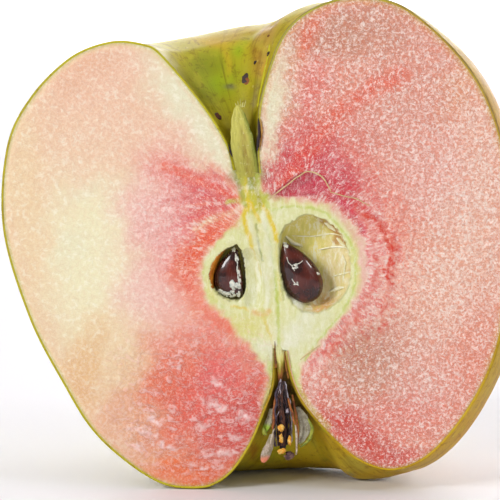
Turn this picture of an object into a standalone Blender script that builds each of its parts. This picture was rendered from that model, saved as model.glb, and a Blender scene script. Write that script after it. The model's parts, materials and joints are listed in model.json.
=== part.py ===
# Half an apple, cut lengthwise through its stem, core and calyx, and stood on the lobes round the calyx.
# Metres, +Z up, origin at the bottom centre of the whole. The cut face is flat and faces -Y.
# Every piece is shaped in the apple's own frame, in millimetres from the middle of the core, where Z is
# the core's axis and the cut face is Y = 0. One empty carries them, leans the apple over and stands it.

import math

import bmesh
import bpy
from mathutils import Vector

MM = 0.001

# How the apple stands: the core's axis leans to the left, and its origin is this far from the whole's.
LEAN = math.radians(7.0)
STAND = (0.5, -18.2, 35.3)

# The skin's line in the cut face, from the foot of the stem round to the bottom of the calyx pit.
# Each station is X and Z of its right half, then X and Z of its left half.
STATIONS = (
    (0.2, 7.6, -2.8, 8.4),
    (0.5, 12.0, -3.5, 12.3),
    (1.8, 17.8, -6.1, 17.8),
    (5.2, 24.9, -10.6, 24.7),
    (9.2, 28.2, -13.0, 26.5),
    (15.0, 29.4, -17.4, 27.3),
    (21.6, 27.5, -23.0, 25.8),
    (27.8, 21.0, -29.0, 21.1),
    (31.7, 13.2, -33.0, 14.8),
    (33.1, 3.0, -34.9, 4.0),
    (31.9, -9.0, -33.0, -8.0),
    (28.9, -19.6, -29.8, -17.0),
    (24.2, -27.2, -25.9, -25.2),
    (18.5, -32.6, -19.6, -31.7),
    (13.3, -34.2, -14.2, -34.3),
    (8.7, -32.3, -9.3, -32.9),
    (5.3, -28.6, -5.4, -28.8),
    (2.3, -24.0, -2.6, -23.8),
    (1.1, -20.5, -1.2, -20.7),
    (0.8, -16.5, -0.5, -16.0),
)
SHOULDER_STATION = 4.5
SHOULDER_REACH_IN = 3.5
SHOULDER_REACH_DOWN = 3.5
FOOT_STATION = 14.0
FOOT_REACH_UP = 2.8
FOOT_REACH_IN = 4.0

# Behind the cut the apple is a little deeper than wide, and its right side swells past the cut edge, by
# little at the shoulder and by more at the foot.
DEPTH_SWELL = 0.08
RIGHT_SWELL_SHOULDER = 0.03
RIGHT_SWELL_FOOT = 0.35

# The lobes round the calyx: degrees round the axis from the right side, how far the lobe drops below
# the cut's line in millimetres, and how much further from the axis it lies.
FOOT_LOBES = (
    (0.0, 0.0, 1.00),
    (20.0, 1.4, 0.98),
    (42.0, 2.9, 0.73),
    (62.0, 1.8, 0.86),
    (83.0, 1.5, 1.07),
    (106.0, 1.3, 1.30),
    (150.0, -0.9, 1.05),
    (180.0, 0.0, 1.00),
)
# The shoulders round the stem: degrees round the axis, and how far they lie below the cut's line.
SHOULDER_LOBES = (
    (0.0, 0.0),
    (22.0, 0.9),
    (52.0, 0.4),
    (76.0, 1.9),
    (92.0, 1.8),
    (115.0, 2.0),
    (140.0, 1.6),
    (180.0, 0.0),
)
SKIN_STEPS_ROUND = 72
SKIN_STEPS_DOWN = 70
GROUND_SIZE = 200.0

# Hollows of the core that the cut opened, each an outline of X and Z and its depth.
RIGHT_CELL = (
    (10.9, -5.3), (10.6, -3.0), (9.5, -0.9), (7.9, 0.6), (6.0, 1.3), (3.9, 0.7), (2.2, -0.7), (1.6, -3.6),
    (1.5, -6.6), (2.0, -9.2), (3.4, -11.2), (5.6, -11.9), (7.8, -11.3), (9.6, -9.9), (10.7, -7.7),
)
RIGHT_CELL_DEPTH = 4.6
LEFT_CELL = (
    (-3.2, -5.4), (-3.2, -3.0), (-3.7, -1.2), (-5.6, -1.8), (-7.4, -3.2), (-8.3, -5.3), (-8.0, -7.4),
    (-6.5, -9.0), (-4.6, -9.6), (-3.5, -8.2),
)
LEFT_CELL_DEPTH = 3.6
SEED_BED = (
    (-0.8, -5.6), (-1.0, -3.6), (-1.9, -2.2), (-3.1, -2.3), (-3.9, -4.8), (-3.9, -7.8), (-3.5, -10.2),
    (-2.4, -10.8), (-1.4, -9.8), (-0.9, -7.8),
)
SEED_BED_DEPTH = 1.2
TORN_SCOOP = (
    (9.5, 4.9), (8.9, 6.3), (7.2, 7.1), (5.3, 6.9), (3.2, 5.7), (1.9, 4.7), (3.3, 4.1), (5.5, 3.9),
    (8.0, 3.9),
)
TORN_SCOOP_DEPTH = 1.6

# The seeds: tip, blunt end, half width and half thickness.
RIGHT_SEED = ((2.6, 1.3, -2.0), (5.2, 1.2, -10.4), 2.3, 1.35)
LEFT_SEED = ((-4.2, 1.4, -1.9), (-5.4, 1.6, -8.6), 2.5, 1.15)
LEFT_SEED_TRIM = -3.95

# The stem stub, from its foot to its tip: X, Y, Z and radius. The cut halved it.
STEM = (
    (-1.4, 0.0, 8.8, 1.0),
    (-1.45, 0.0, 9.8, 1.15),
    (-1.5, 0.0, 11.4, 1.4),
    (-1.5, 0.0, 13.4, 1.3),
    (-1.55, 0.0, 15.2, 1.05),
    (-1.45, 0.0, 16.3, 0.7),
    (-1.3, 0.0, 16.9, 0.2),
)
ROD_STEPS_PER_ROW = 3
STEM_SIDES = 4

# The dried flower in the calyx pit: X, Y, Z and radius down each thread.
STYLES = (
    (-0.05, 0.4, -20.6, 0.2),
    (-0.35, 0.7, -22.4, 0.4),
    (-0.7, 1.3, -25.5, 0.65),
    (-1.0, 1.7, -28.4, 0.65),
    (-1.3, 1.8, -30.0, 0.45),
)
BUNDLE_SIDES = 4
FILAMENTS = {
    "filament_left": ((-1.2, 0.3, -22.5, 0.14), (-1.75, 0.2, -24.9, 0.18), (-2.1, 0.2, -26.9, 0.16)),
    "filament_right": (
        (1.0, 0.8, -22.6, 0.14), (1.2, 0.7, -25.0, 0.18), (1.2, 0.6, -27.4, 0.16), (0.9, 0.5, -29.2, 0.14),
    ),
    "filament_front": ((0.45, 0.2, -22.9, 0.14), (0.75, 0.0, -24.8, 0.17), (0.95, -0.1, -26.5, 0.14)),
}
THREAD_SIDES = 2
# Dried pollen sacs: centre, and half sizes.
ANTHERS = {
    "anther_top": ((-1.0, -0.1, -26.8), (0.35, 0.3, 0.4)),
    "anther_middle": ((-1.15, -0.1, -28.2), (0.28, 0.28, 0.5)),
    "anther_side": ((0.0, -0.05, -28.6), (0.25, 0.25, 0.5)),
    "anther_low": ((-1.15, -0.2, -29.9), (0.4, 0.28, 0.3)),
    "anther_dark": ((-0.35, 0.3, -30.7), (0.6, 0.5, 0.5)),
}
# Sepals: X, Y, Z and half width down the middle of each, and the direction across it.
SEPALS = {
    "sepal_left": (
        ((-2.15, 1.0, -24.6, 0.25), (-2.75, 1.0, -25.9, 0.45), (-3.3, 0.9, -27.2, 0.3)),
        (1.0, -0.4, 0.1),
    ),
    "sepal_right": (
        ((1.7, 1.3, -24.2, 0.25), (2.25, 1.6, -25.8, 0.7), (2.75, 1.5, -27.4, 0.95), (2.2, 1.2, -29.2, 0.4)),
        (1.0, -0.3, 0.0),
    ),
    "sepal_tip": (
        (
            (-2.3, 0.3, -27.6, 0.25), (-2.7, 0.2, -28.7, 0.45), (-3.4, 0.2, -30.0, 0.6),
            (-3.9, 0.3, -31.0, 0.35),
        ),
        (1.0, 0.3, -0.3),
    ),
}
SEPAL_THICKNESS = 0.35
SEPAL_CUP = 0.3

# Colour and roughness of each finish.
FINISHES = {
    "flesh": ((0.80, 0.45, 0.34, 1.0), 0.45),
    "stem": ((0.55, 0.56, 0.25, 1.0), 0.7),
    "seed": ((0.16, 0.05, 0.02, 1.0), 0.2),
    "dry_flower": ((0.12, 0.06, 0.05, 1.0), 0.8),
    "thread": ((0.50, 0.22, 0.08, 1.0), 0.7),
    "pollen": ((0.85, 0.50, 0.10, 1.0), 0.6),
    "sepal": ((0.60, 0.62, 0.45, 1.0), 0.8),
}


def smooth_row(rows, place):
    """The row at a place along the smooth curve that runs through all the rows."""
    last = len(rows) - 1
    start = min(max(int(place), 0), last - 1)
    u = place - start
    around = (rows[max(start - 1, 0)], rows[start], rows[start + 1], rows[min(start + 2, last)])
    blended = []
    for before, here, after, beyond in zip(*around):
        slope = after - before
        bend = 2 * before - 5 * here + 4 * after - beyond
        twist = 3 * here - before - 3 * after + beyond
        blended.append(here + 0.5 * (slope * u + bend * u**2 + twist * u**3))
    return blended


def smooth_loop(points, fraction):
    """The point at a fraction of the way round the smooth closed curve through the points."""
    count = len(points)
    rows = [points[(i - 1) % count] for i in range(count + 3)]
    return smooth_row(rows, 1 + (fraction % 1.0) * count)


def lobe_row(table, degrees):
    """The row of a table of lobes at any angle round the axis."""
    last = len(table) - 1
    start = max(index for index in range(last) if table[index][0] <= degrees)
    low, high = table[start][0], table[start + 1][0]
    return smooth_row(table, start + (degrees - low) / (high - low))


def near_station(station, middle, before, after):
    """1 at the middle station, easing to 0 this many stations before and after it."""
    away = min(abs(station - middle) / (before if station < middle else after), 1.0)
    return (1 - away * away) ** 2


def skin_point(azimuth, station):
    """A point of the skin, at an angle round the axis and a station down the cut's line."""
    right_x, right_z, left_x, left_z = smooth_row(STATIONS, station)
    degrees = abs(math.degrees(azimuth))
    foot = near_station(station, FOOT_STATION, FOOT_REACH_UP, FOOT_REACH_IN)
    shoulder = near_station(station, SHOULDER_STATION, SHOULDER_REACH_IN, SHOULDER_REACH_DOWN)
    lowness = min(max((station - SHOULDER_STATION) / (FOOT_STATION - SHOULDER_STATION), 0.0), 1.0)
    right_swell = RIGHT_SWELL_SHOULDER + (RIGHT_SWELL_FOOT - RIGHT_SWELL_SHOULDER) * lowness**2
    swell = 1 + DEPTH_SWELL * abs(math.sin(azimuth))
    swell += right_swell * math.sin(2 * abs(azimuth)) * math.cos(azimuth / 2) ** 2
    lobe, shoulder_drop = lobe_row(FOOT_LOBES, degrees), lobe_row(SHOULDER_LOBES, degrees)[1]
    swell *= 1 + (lobe[2] - 1) * foot
    half_width = (right_x - left_x) / 2
    x = (right_x + left_x) / 2 + half_width * math.cos(azimuth) * swell
    y = half_width * math.sin(azimuth) * swell
    rightness = (1 + math.cos(azimuth)) / 2
    z = left_z + (right_z - left_z) * rightness
    z -= lobe[1] * foot + shoulder_drop * shoulder
    return Vector((x, y, z))


def new_material(name):
    """Plain finish for one kind of tissue."""
    colour, roughness = FINISHES[name]
    material = bpy.data.materials.new(name)
    material.use_nodes = True
    shader = material.node_tree.nodes["Principled BSDF"]
    shader.inputs["Base Color"].default_value = colour
    shader.inputs["Roughness"].default_value = roughness
    return material


def add_object(name, data, collection, material=None, carrier=None):
    """Put a shape in a collection, hung on whatever carries it."""
    piece = bpy.data.objects.new(name, data)
    collection.objects.link(piece)
    piece.parent = carrier
    if material:
        data.materials.append(material)
    return piece


def mesh_from(name, bm):
    """Turn a finished bmesh in millimetres into a smooth-shaded mesh in metres."""
    bmesh.ops.scale(bm, vec=(MM, MM, MM), verts=bm.verts)
    mesh = bpy.data.meshes.new(name)
    bm.to_mesh(mesh)
    bm.free()
    mesh.shade_smooth()
    mesh.set_sharp_from_angle(angle=math.radians(40))
    return mesh


def cut_flat(bm, point, normal):
    """Cut a closed bmesh along a plane, drop what lies on the normal's side and close it flat."""
    everything = bm.verts[:] + bm.edges[:] + bm.faces[:]
    cut = bmesh.ops.bisect_plane(
        bm, geom=everything, dist=1e-4, plane_co=point, plane_no=normal, clear_outer=True
    )
    rim = [item for item in cut["geom_cut"] if isinstance(item, bmesh.types.BMEdge)]
    bmesh.ops.edgeloop_fill(bm, edges=rim)


def whole_apple():
    """The apple's outer form: a closed ball bent to the skin's stations, its poles at stem and calyx."""
    bm = bmesh.new()
    bmesh.ops.create_uvsphere(bm, u_segments=SKIN_STEPS_ROUND, v_segments=SKIN_STEPS_DOWN, radius=1.0)
    last = len(STATIONS) - 1
    for vert in bm.verts:
        ring = round(math.acos(max(-1.0, min(1.0, vert.co.z))) / math.pi * SKIN_STEPS_DOWN)
        station = (ring - 1) / (SKIN_STEPS_DOWN - 2) * last
        if 0 < ring < SKIN_STEPS_DOWN:
            vert.co = skin_point(math.atan2(vert.co.y, vert.co.x), station)
        else:
            end = 0 if ring == 0 else last
            vert.co = (skin_point(0.0, end) + skin_point(math.pi, end)) / 2
    return bm


def hollow_shape(outline, depth):
    """A squarish dome over an outline in the cut face, as deep into the flesh as in front of it."""
    bm = bmesh.new()
    bmesh.ops.create_uvsphere(bm, u_segments=40, v_segments=16, radius=1.0)
    middle_x = sum(point[0] for point in outline) / len(outline)
    middle_z = sum(point[1] for point in outline) / len(outline)
    for vert in bm.verts:
        spread = min(math.hypot(vert.co.x, vert.co.y), 1.0)
        rim_x, rim_z = smooth_loop(outline, math.atan2(vert.co.y, vert.co.x) / (2 * math.pi))
        y = -math.copysign(depth * (1 - spread**4) ** 0.25, vert.co.z)
        vert.co = (middle_x + (rim_x - middle_x) * spread, y, middle_z + (rim_z - middle_z) * spread)
    return bm


def add_cut(piece, name, bm, carrier=None):
    """Cut a shape out of a piece."""
    cutter = add_object(name, mesh_from(name, bm), cutters, carrier=carrier)
    cutter.hide_render = True
    cutter.display_type = "WIRE"
    cut = piece.modifiers.new(name, "BOOLEAN")
    cut.operation = "DIFFERENCE"
    cut.object = cutter


def add_flesh():
    """Flesh, skin and core in one: the halved apple with its opened seed cells, and flat feet."""
    bm = whole_apple()
    cut_flat(bm, (0, 0, 0), (0, -1, 0))
    piece = add_object("apple_flesh", mesh_from("apple_flesh", bm), parts, new_material("flesh"), stand)
    hollows = {
        "right_cell": (RIGHT_CELL, RIGHT_CELL_DEPTH),
        "left_cell": (LEFT_CELL, LEFT_CELL_DEPTH),
        "seed_bed": (SEED_BED, SEED_BED_DEPTH),
        "torn_scoop": (TORN_SCOOP, TORN_SCOOP_DEPTH),
    }
    for name, (outline, depth) in hollows.items():
        add_cut(piece, name, hollow_shape(outline, depth), stand)
    ground = bmesh.new()
    bmesh.ops.create_cube(ground, size=GROUND_SIZE)
    bmesh.ops.translate(ground, vec=(0, 0, -GROUND_SIZE / 2), verts=ground.verts)
    add_cut(piece, "ground", ground)


def add_seed(name, seed, trim=None):
    """A drop-shaped seed from its tip to its blunt end, broken off flat at a trim plane if it has one."""
    tip, end, half_width, half_thickness = seed
    tip, end = Vector(tip), Vector(end)
    along = end - tip
    across = along.cross(Vector((0, 1, 0))).normalized()
    through = across.cross(along).normalized()
    bm = bmesh.new()
    bmesh.ops.create_uvsphere(bm, u_segments=20, v_segments=14, radius=1.0)
    for vert in bm.verts:
        place = math.acos(max(-1.0, min(1.0, vert.co.z))) / math.pi
        girth = 1.17 * math.sin(math.pi * place) ** 0.8 * (0.5 + 0.6 * place)
        turn = math.atan2(vert.co.y, vert.co.x)
        vert.co = (
            tip + along * place
            + across * (math.cos(turn) * girth * half_width)
            + through * (math.sin(turn) * girth * half_thickness)
        )
    bmesh.ops.recalc_face_normals(bm, faces=bm.faces)
    if trim is not None:
        cut_flat(bm, (trim, 0, 0), (1, 0, 0))
    add_object(name, mesh_from(name, bm), parts, new_material("seed"), stand)


def rod_curve(name, rows, sides):
    """A round thread along a smooth line, tapered by its rows' radii."""
    curve = bpy.data.curves.new(name, "CURVE")
    curve.dimensions = "3D"
    curve.bevel_depth = MM
    curve.bevel_resolution = sides
    curve.use_fill_caps = True
    steps = ROD_STEPS_PER_ROW * (len(rows) - 1)
    spline = curve.splines.new("POLY")
    spline.points.add(steps)
    for index, point in enumerate(spline.points):
        x, y, z, radius = smooth_row(rows, index / steps * (len(rows) - 1))
        point.co = (x * MM, y * MM, z * MM, 1.0)
        point.radius = radius
    return curve


def add_stem():
    """The stem stub, halved lengthwise by the cut."""
    rod = add_object("stem_rod", rod_curve("stem_rod", STEM, STEM_SIDES), parts)
    whole = bpy.data.meshes.new_from_object(rod.evaluated_get(bpy.context.evaluated_depsgraph_get()))
    bpy.data.objects.remove(rod)
    bm = bmesh.new()
    bm.from_mesh(whole)
    bpy.data.meshes.remove(whole)
    bmesh.ops.scale(bm, vec=(1 / MM, 1 / MM, 1 / MM), verts=bm.verts)
    bmesh.ops.remove_doubles(bm, verts=bm.verts, dist=0.01)
    cut_flat(bm, (0, 0, 0), (0, -1, 0))
    add_object("stem", mesh_from("stem", bm), parts, new_material("stem"), stand)


def add_sepal(name, rows, across):
    """A dry leaf of the calyx: a thin cupped strip."""
    across = Vector(across).normalized()
    bm = bmesh.new()
    bmesh.ops.create_grid(bm, x_segments=4, y_segments=8, size=1.0)
    for vert in bm.verts:
        side, place = vert.co.x, (vert.co.y + 1) / 2
        x, y, z, half_width = smooth_row(rows, place * (len(rows) - 1))
        vert.co = Vector((x, y + SEPAL_CUP * side**2 * half_width, z)) + across * side * half_width
    bmesh.ops.triangulate(bm, faces=bm.faces)
    piece = add_object(name, mesh_from(name, bm), parts, new_material("sepal"), stand)
    wall = piece.modifiers.new("thickness", "SOLIDIFY")
    wall.thickness = SEPAL_THICKNESS * MM
    wall.offset = 0.0


def add_anther(name, centre, half_size):
    """A dried pollen sac."""
    bm = bmesh.new()
    bmesh.ops.create_uvsphere(bm, u_segments=10, v_segments=6, radius=1.0)
    bmesh.ops.scale(bm, vec=half_size, verts=bm.verts)
    bmesh.ops.translate(bm, vec=centre, verts=bm.verts)
    finish = "dry_flower" if name == "anther_dark" else "pollen"
    add_object(name, mesh_from(name, bm), parts, new_material(finish), stand)


def add_calyx():
    """The dried flower in the pit at the foot of the apple."""
    bundle = rod_curve("style_bundle", STYLES, BUNDLE_SIDES)
    add_object("style_bundle", bundle, parts, new_material("dry_flower"), stand)
    for name, rows in FILAMENTS.items():
        add_object(name, rod_curve(name, rows, THREAD_SIDES), parts, new_material("thread"), stand)
    for name, (rows, across) in SEPALS.items():
        add_sepal(name, rows, across)
    for name, (centre, half_size) in ANTHERS.items():
        add_anther(name, centre, half_size)


for old in list(bpy.data.objects):
    bpy.data.objects.remove(old)

parts = bpy.data.collections.new("apple_half")
cutters = bpy.data.collections.new("apple_half_cutters")
for collection in (parts, cutters):
    bpy.context.scene.collection.children.link(collection)

stand = bpy.data.objects.new("apple_stand", None)
stand.rotation_euler = (0.0, -LEAN, 0.0)
stand.location = [distance * MM for distance in STAND]
parts.objects.link(stand)

add_flesh()
add_stem()
add_seed("seed_right", RIGHT_SEED)
add_seed("seed_left", LEFT_SEED, LEFT_SEED_TRIM)
add_calyx()
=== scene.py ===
"""Looks of half an apple, cut through its stem, core and calyx, built round the packed frame."""

import json
import math
import random

import bmesh
import bpy
import numpy as np
from bpy.props import FloatProperty, FloatVectorProperty, IntProperty, PointerProperty
from mathutils import Matrix, Vector, noise
from mathutils.bvhtree import BVHTree
from mathutils.geometry import delaunay_2d_cdt
from mathutils.kdtree import KDTree

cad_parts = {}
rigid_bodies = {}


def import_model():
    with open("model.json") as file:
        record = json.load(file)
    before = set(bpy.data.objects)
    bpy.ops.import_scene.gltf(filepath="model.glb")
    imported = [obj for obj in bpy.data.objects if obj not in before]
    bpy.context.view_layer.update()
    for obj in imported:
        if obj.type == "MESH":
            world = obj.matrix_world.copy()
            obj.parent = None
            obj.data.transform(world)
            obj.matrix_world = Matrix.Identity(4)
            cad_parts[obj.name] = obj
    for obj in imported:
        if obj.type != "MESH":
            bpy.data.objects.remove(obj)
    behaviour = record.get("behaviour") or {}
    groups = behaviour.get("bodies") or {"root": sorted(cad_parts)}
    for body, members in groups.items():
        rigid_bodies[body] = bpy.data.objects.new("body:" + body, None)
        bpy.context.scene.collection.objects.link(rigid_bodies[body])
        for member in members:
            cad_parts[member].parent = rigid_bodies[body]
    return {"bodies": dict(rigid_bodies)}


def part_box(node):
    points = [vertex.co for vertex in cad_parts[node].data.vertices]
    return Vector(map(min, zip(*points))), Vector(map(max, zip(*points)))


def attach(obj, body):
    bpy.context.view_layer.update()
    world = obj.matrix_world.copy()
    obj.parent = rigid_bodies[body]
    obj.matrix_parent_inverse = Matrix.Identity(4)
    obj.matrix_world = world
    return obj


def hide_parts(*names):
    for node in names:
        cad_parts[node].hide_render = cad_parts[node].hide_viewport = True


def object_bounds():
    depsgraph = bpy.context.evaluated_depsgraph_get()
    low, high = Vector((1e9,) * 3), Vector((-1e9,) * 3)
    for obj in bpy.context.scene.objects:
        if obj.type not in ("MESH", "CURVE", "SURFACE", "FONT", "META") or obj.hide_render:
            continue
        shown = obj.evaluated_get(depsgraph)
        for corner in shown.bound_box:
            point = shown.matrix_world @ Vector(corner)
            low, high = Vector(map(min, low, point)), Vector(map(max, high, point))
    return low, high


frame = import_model()
cad_lowest, cad_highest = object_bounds()

bl_info = {
    "name": "Apple Half",
    "version": (1, 0, 0),
    "blender": (4, 5, 0),
    "location": "3D View > Sidebar > Apple Half",
    "description": "Flesh, skin, seeds, stem and calyx of an apple cut in half lengthwise",
    "category": "Object",
}

MM = 0.001
BODY = "root" if "root" in frame["bodies"] else sorted(frame["bodies"])[0]
# Keeps the wander of the threads the same each run.
NOISE_SEED = 1

# The apple's own frame: millimetres from the middle of the core, Z along the core, the cut face at Y = 0.
LEAN = math.radians(7.0)
CORE_MIDDLE = Vector((0.5 * MM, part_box("apple_flesh")[0].y, 35.3 * MM))
TO_ROW = Matrix.Translation(CORE_MIDDLE) @ Matrix.Rotation(-LEAN, 4, "Y") @ Matrix.Scale(MM, 4)
FROM_ROW = TO_ROW.inverted()
UP = Vector((math.sin(LEAN), 0.0, math.cos(LEAN)))

# The skin's line in the cut face, from the foot of the stem round to the bottom of the calyx pit.
# Each station is X and Z of its right half, then X and Z of its left half.
STATIONS = (
    (0.2, 7.6, -2.8, 8.4),
    (0.5, 12.0, -3.5, 12.3),
    (1.8, 17.8, -6.1, 17.8),
    (5.2, 24.9, -10.6, 24.7),
    (9.2, 28.2, -13.0, 26.5),
    (15.0, 29.4, -17.4, 27.3),
    (21.6, 27.5, -23.0, 25.8),
    (27.8, 21.0, -29.0, 21.1),
    (31.7, 13.2, -33.0, 14.8),
    (33.1, 3.0, -34.9, 4.0),
    (31.9, -9.0, -33.0, -8.0),
    (28.9, -19.6, -29.8, -17.0),
    (24.2, -27.2, -25.9, -25.2),
    (18.5, -32.6, -19.6, -31.7),
    (13.3, -34.2, -14.2, -34.3),
    (8.7, -32.3, -9.3, -32.9),
    (5.3, -28.6, -5.4, -28.8),
    (2.3, -24.0, -2.6, -23.8),
    (1.1, -20.5, -1.2, -20.7),
    (0.8, -16.5, -0.5, -16.0),
)
# Where the shoulders and the feet bulge most, and how many stations the bulge reaches to either side.
SHOULDER_STATION, SHOULDER_REACH_IN, SHOULDER_REACH_DOWN = 4.5, 3.5, 3.5
FOOT_STATION, FOOT_REACH_UP, FOOT_REACH_IN = 14.0, 2.8, 4.0
# How much the skin swells behind the cut, and how much more at the right, high up and at the foot.
DEPTH_SWELL = 0.08
RIGHT_SWELL_SHOULDER, RIGHT_SWELL_FOOT = 0.03, 0.35
# Lobes round the calyx: degrees round the axis from the right side, drop, and spread from the axis.
FOOT_LOBES = (
    (0.0, 0.0, 1.00), (20.0, 1.4, 0.98), (42.0, 2.9, 0.73), (62.0, 1.8, 0.86), (83.0, 1.5, 1.07),
    (106.0, 1.3, 1.30), (150.0, -0.9, 1.05), (180.0, 0.0, 1.00),
)
# Shoulders round the stem: degrees round the axis, and drop.
SHOULDER_LOBES = (
    (0.0, 0.0), (22.0, 0.9), (52.0, 0.4), (76.0, 1.9), (92.0, 1.8), (115.0, 2.0), (140.0, 1.6), (180.0, 0.0),
)

# Hollows that the cut opened: outline in the cut face, depth, and how torn the rim is.
HOLLOWS = {
    "right_cell": (
        (
            (10.9, -5.3), (10.6, -3.0), (9.5, -0.9), (7.9, 0.6), (6.0, 1.3), (3.9, 0.7), (2.2, -0.7),
            (1.6, -3.6), (1.5, -6.6), (2.0, -9.2), (3.4, -11.2), (5.6, -11.9), (7.8, -11.3), (9.6, -9.9),
            (10.7, -7.7),
        ),
        3.3,
        0.022,
    ),
    "left_cell": (
        (
            (-3.3, -5.4), (-3.3, -3.2), (-3.8, -1.7), (-5.5, -2.1), (-7.1, -3.3), (-8.0, -5.3),
            (-7.7, -7.2), (-6.4, -8.6), (-4.7, -9.1), (-3.6, -8.0),
        ),
        3.6,
        0.02,
    ),
    "seed_bed": (
        (
            (-0.8, -5.6), (-1.0, -3.6), (-1.9, -2.2), (-3.1, -2.3), (-3.9, -4.8), (-3.9, -7.8),
            (-3.5, -10.2), (-2.4, -10.8), (-1.4, -9.8), (-0.9, -7.8),
        ),
        1.2,
        0.0,
    ),
    "torn_scoop": (
        (
            (9.5, 4.9), (8.9, 6.3), (7.2, 7.1), (5.3, 6.9), (3.2, 5.7), (1.9, 4.7), (3.3, 4.1), (5.5, 3.9),
            (8.0, 3.9),
        ),
        1.0,
        0.03,
    ),
}
# Where the cells are shallower: middle X and Z, half sizes, and the share of the depth that is filled.
CELL_SHOALS = (
    (2.7, -11.0, 1.7, 1.8, 0.93),
    (6.6, -12.0, 2.8, 1.0, 0.6),
    (9.9, -7.6, 1.4, 3.6, 0.45),
)
# Rings of points in a hollow: shares of its reach at the rim, the step between the rings further in,
# and the distance between points along a ring.
RIM_RINGS = (1.0, 0.992, 0.975, 0.95)
RING_STEP, RING_SPACING = 0.045, 0.19
# The other points keep this share of a hollow's reach from its middle, and this far from the skin.
HOLLOW_KEEP_OUT, SKIN_KEEP_OUT = 1.01, 0.09

# Rows of the skin: the station up to which each step in millimetres holds.
ROW_STEPS = ((5.0, 0.3), (12.5, 0.55), (math.inf, 0.36))
# Columns of the flesh's back and of the skin, and how much closer together they are at the cut.
FLESH_COLUMNS, SKIN_COLUMNS, CUT_CROWDING = 25, 121, 0.6
# The flesh's back keeps this far under the inside of the skin.
UNDER_SKIN = 0.06
# The skin's streaks: the width drawn over the half round, and the length drawn over one station.
STREAK_WIDTH, STREAK_LENGTH = 34.0, 0.35
# The top of the pit, where the skin takes the core's colour: middle and half sizes.
PIT_TOP, PIT_TOP_SIZE = (0.0, 0.0, -15.6), (2.2, 2.5, 2.1)

# The core in the cut face: its outline, and the stem's tissue that runs down into it.
CORE_OUTLINE = (
    (0.3, 4.3), (3.3, 3.8), (6.0, 3.6), (9.1, 2.2), (11.5, -0.5), (12.9, -3.5), (13.0, -6.9), (11.8, -10.1),
    (9.1, -12.8), (5.9, -15.5), (3.7, -17.5), (2.5, -19.5), (1.7, -21.6), (-1.5, -20.2), (-2.4, -17.6),
    (-4.0, -15.3), (-5.4, -13.0), (-6.5, -10.9), (-8.6, -9.2), (-9.3, -6.2), (-8.8, -3.4), (-7.0, -1.0),
    (-4.8, 0.6), (-2.6, 2.4), (-2.2, 3.2),
)
STEM_TISSUE = (
    (-2.8, 9.6), (-2.7, 7.8), (-2.4, 5.6), (-3.0, 4.4), (-2.2, 3.2), (-1.4, 2.4), (0.4, 2.6), (1.2, 4.2),
    (0.5, 5.2), (0.2, 6.8), (0.0, 9.6),
)

# The closer points of the core reach this far beyond its outline.
CORE_MARGIN = 0.8

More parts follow.
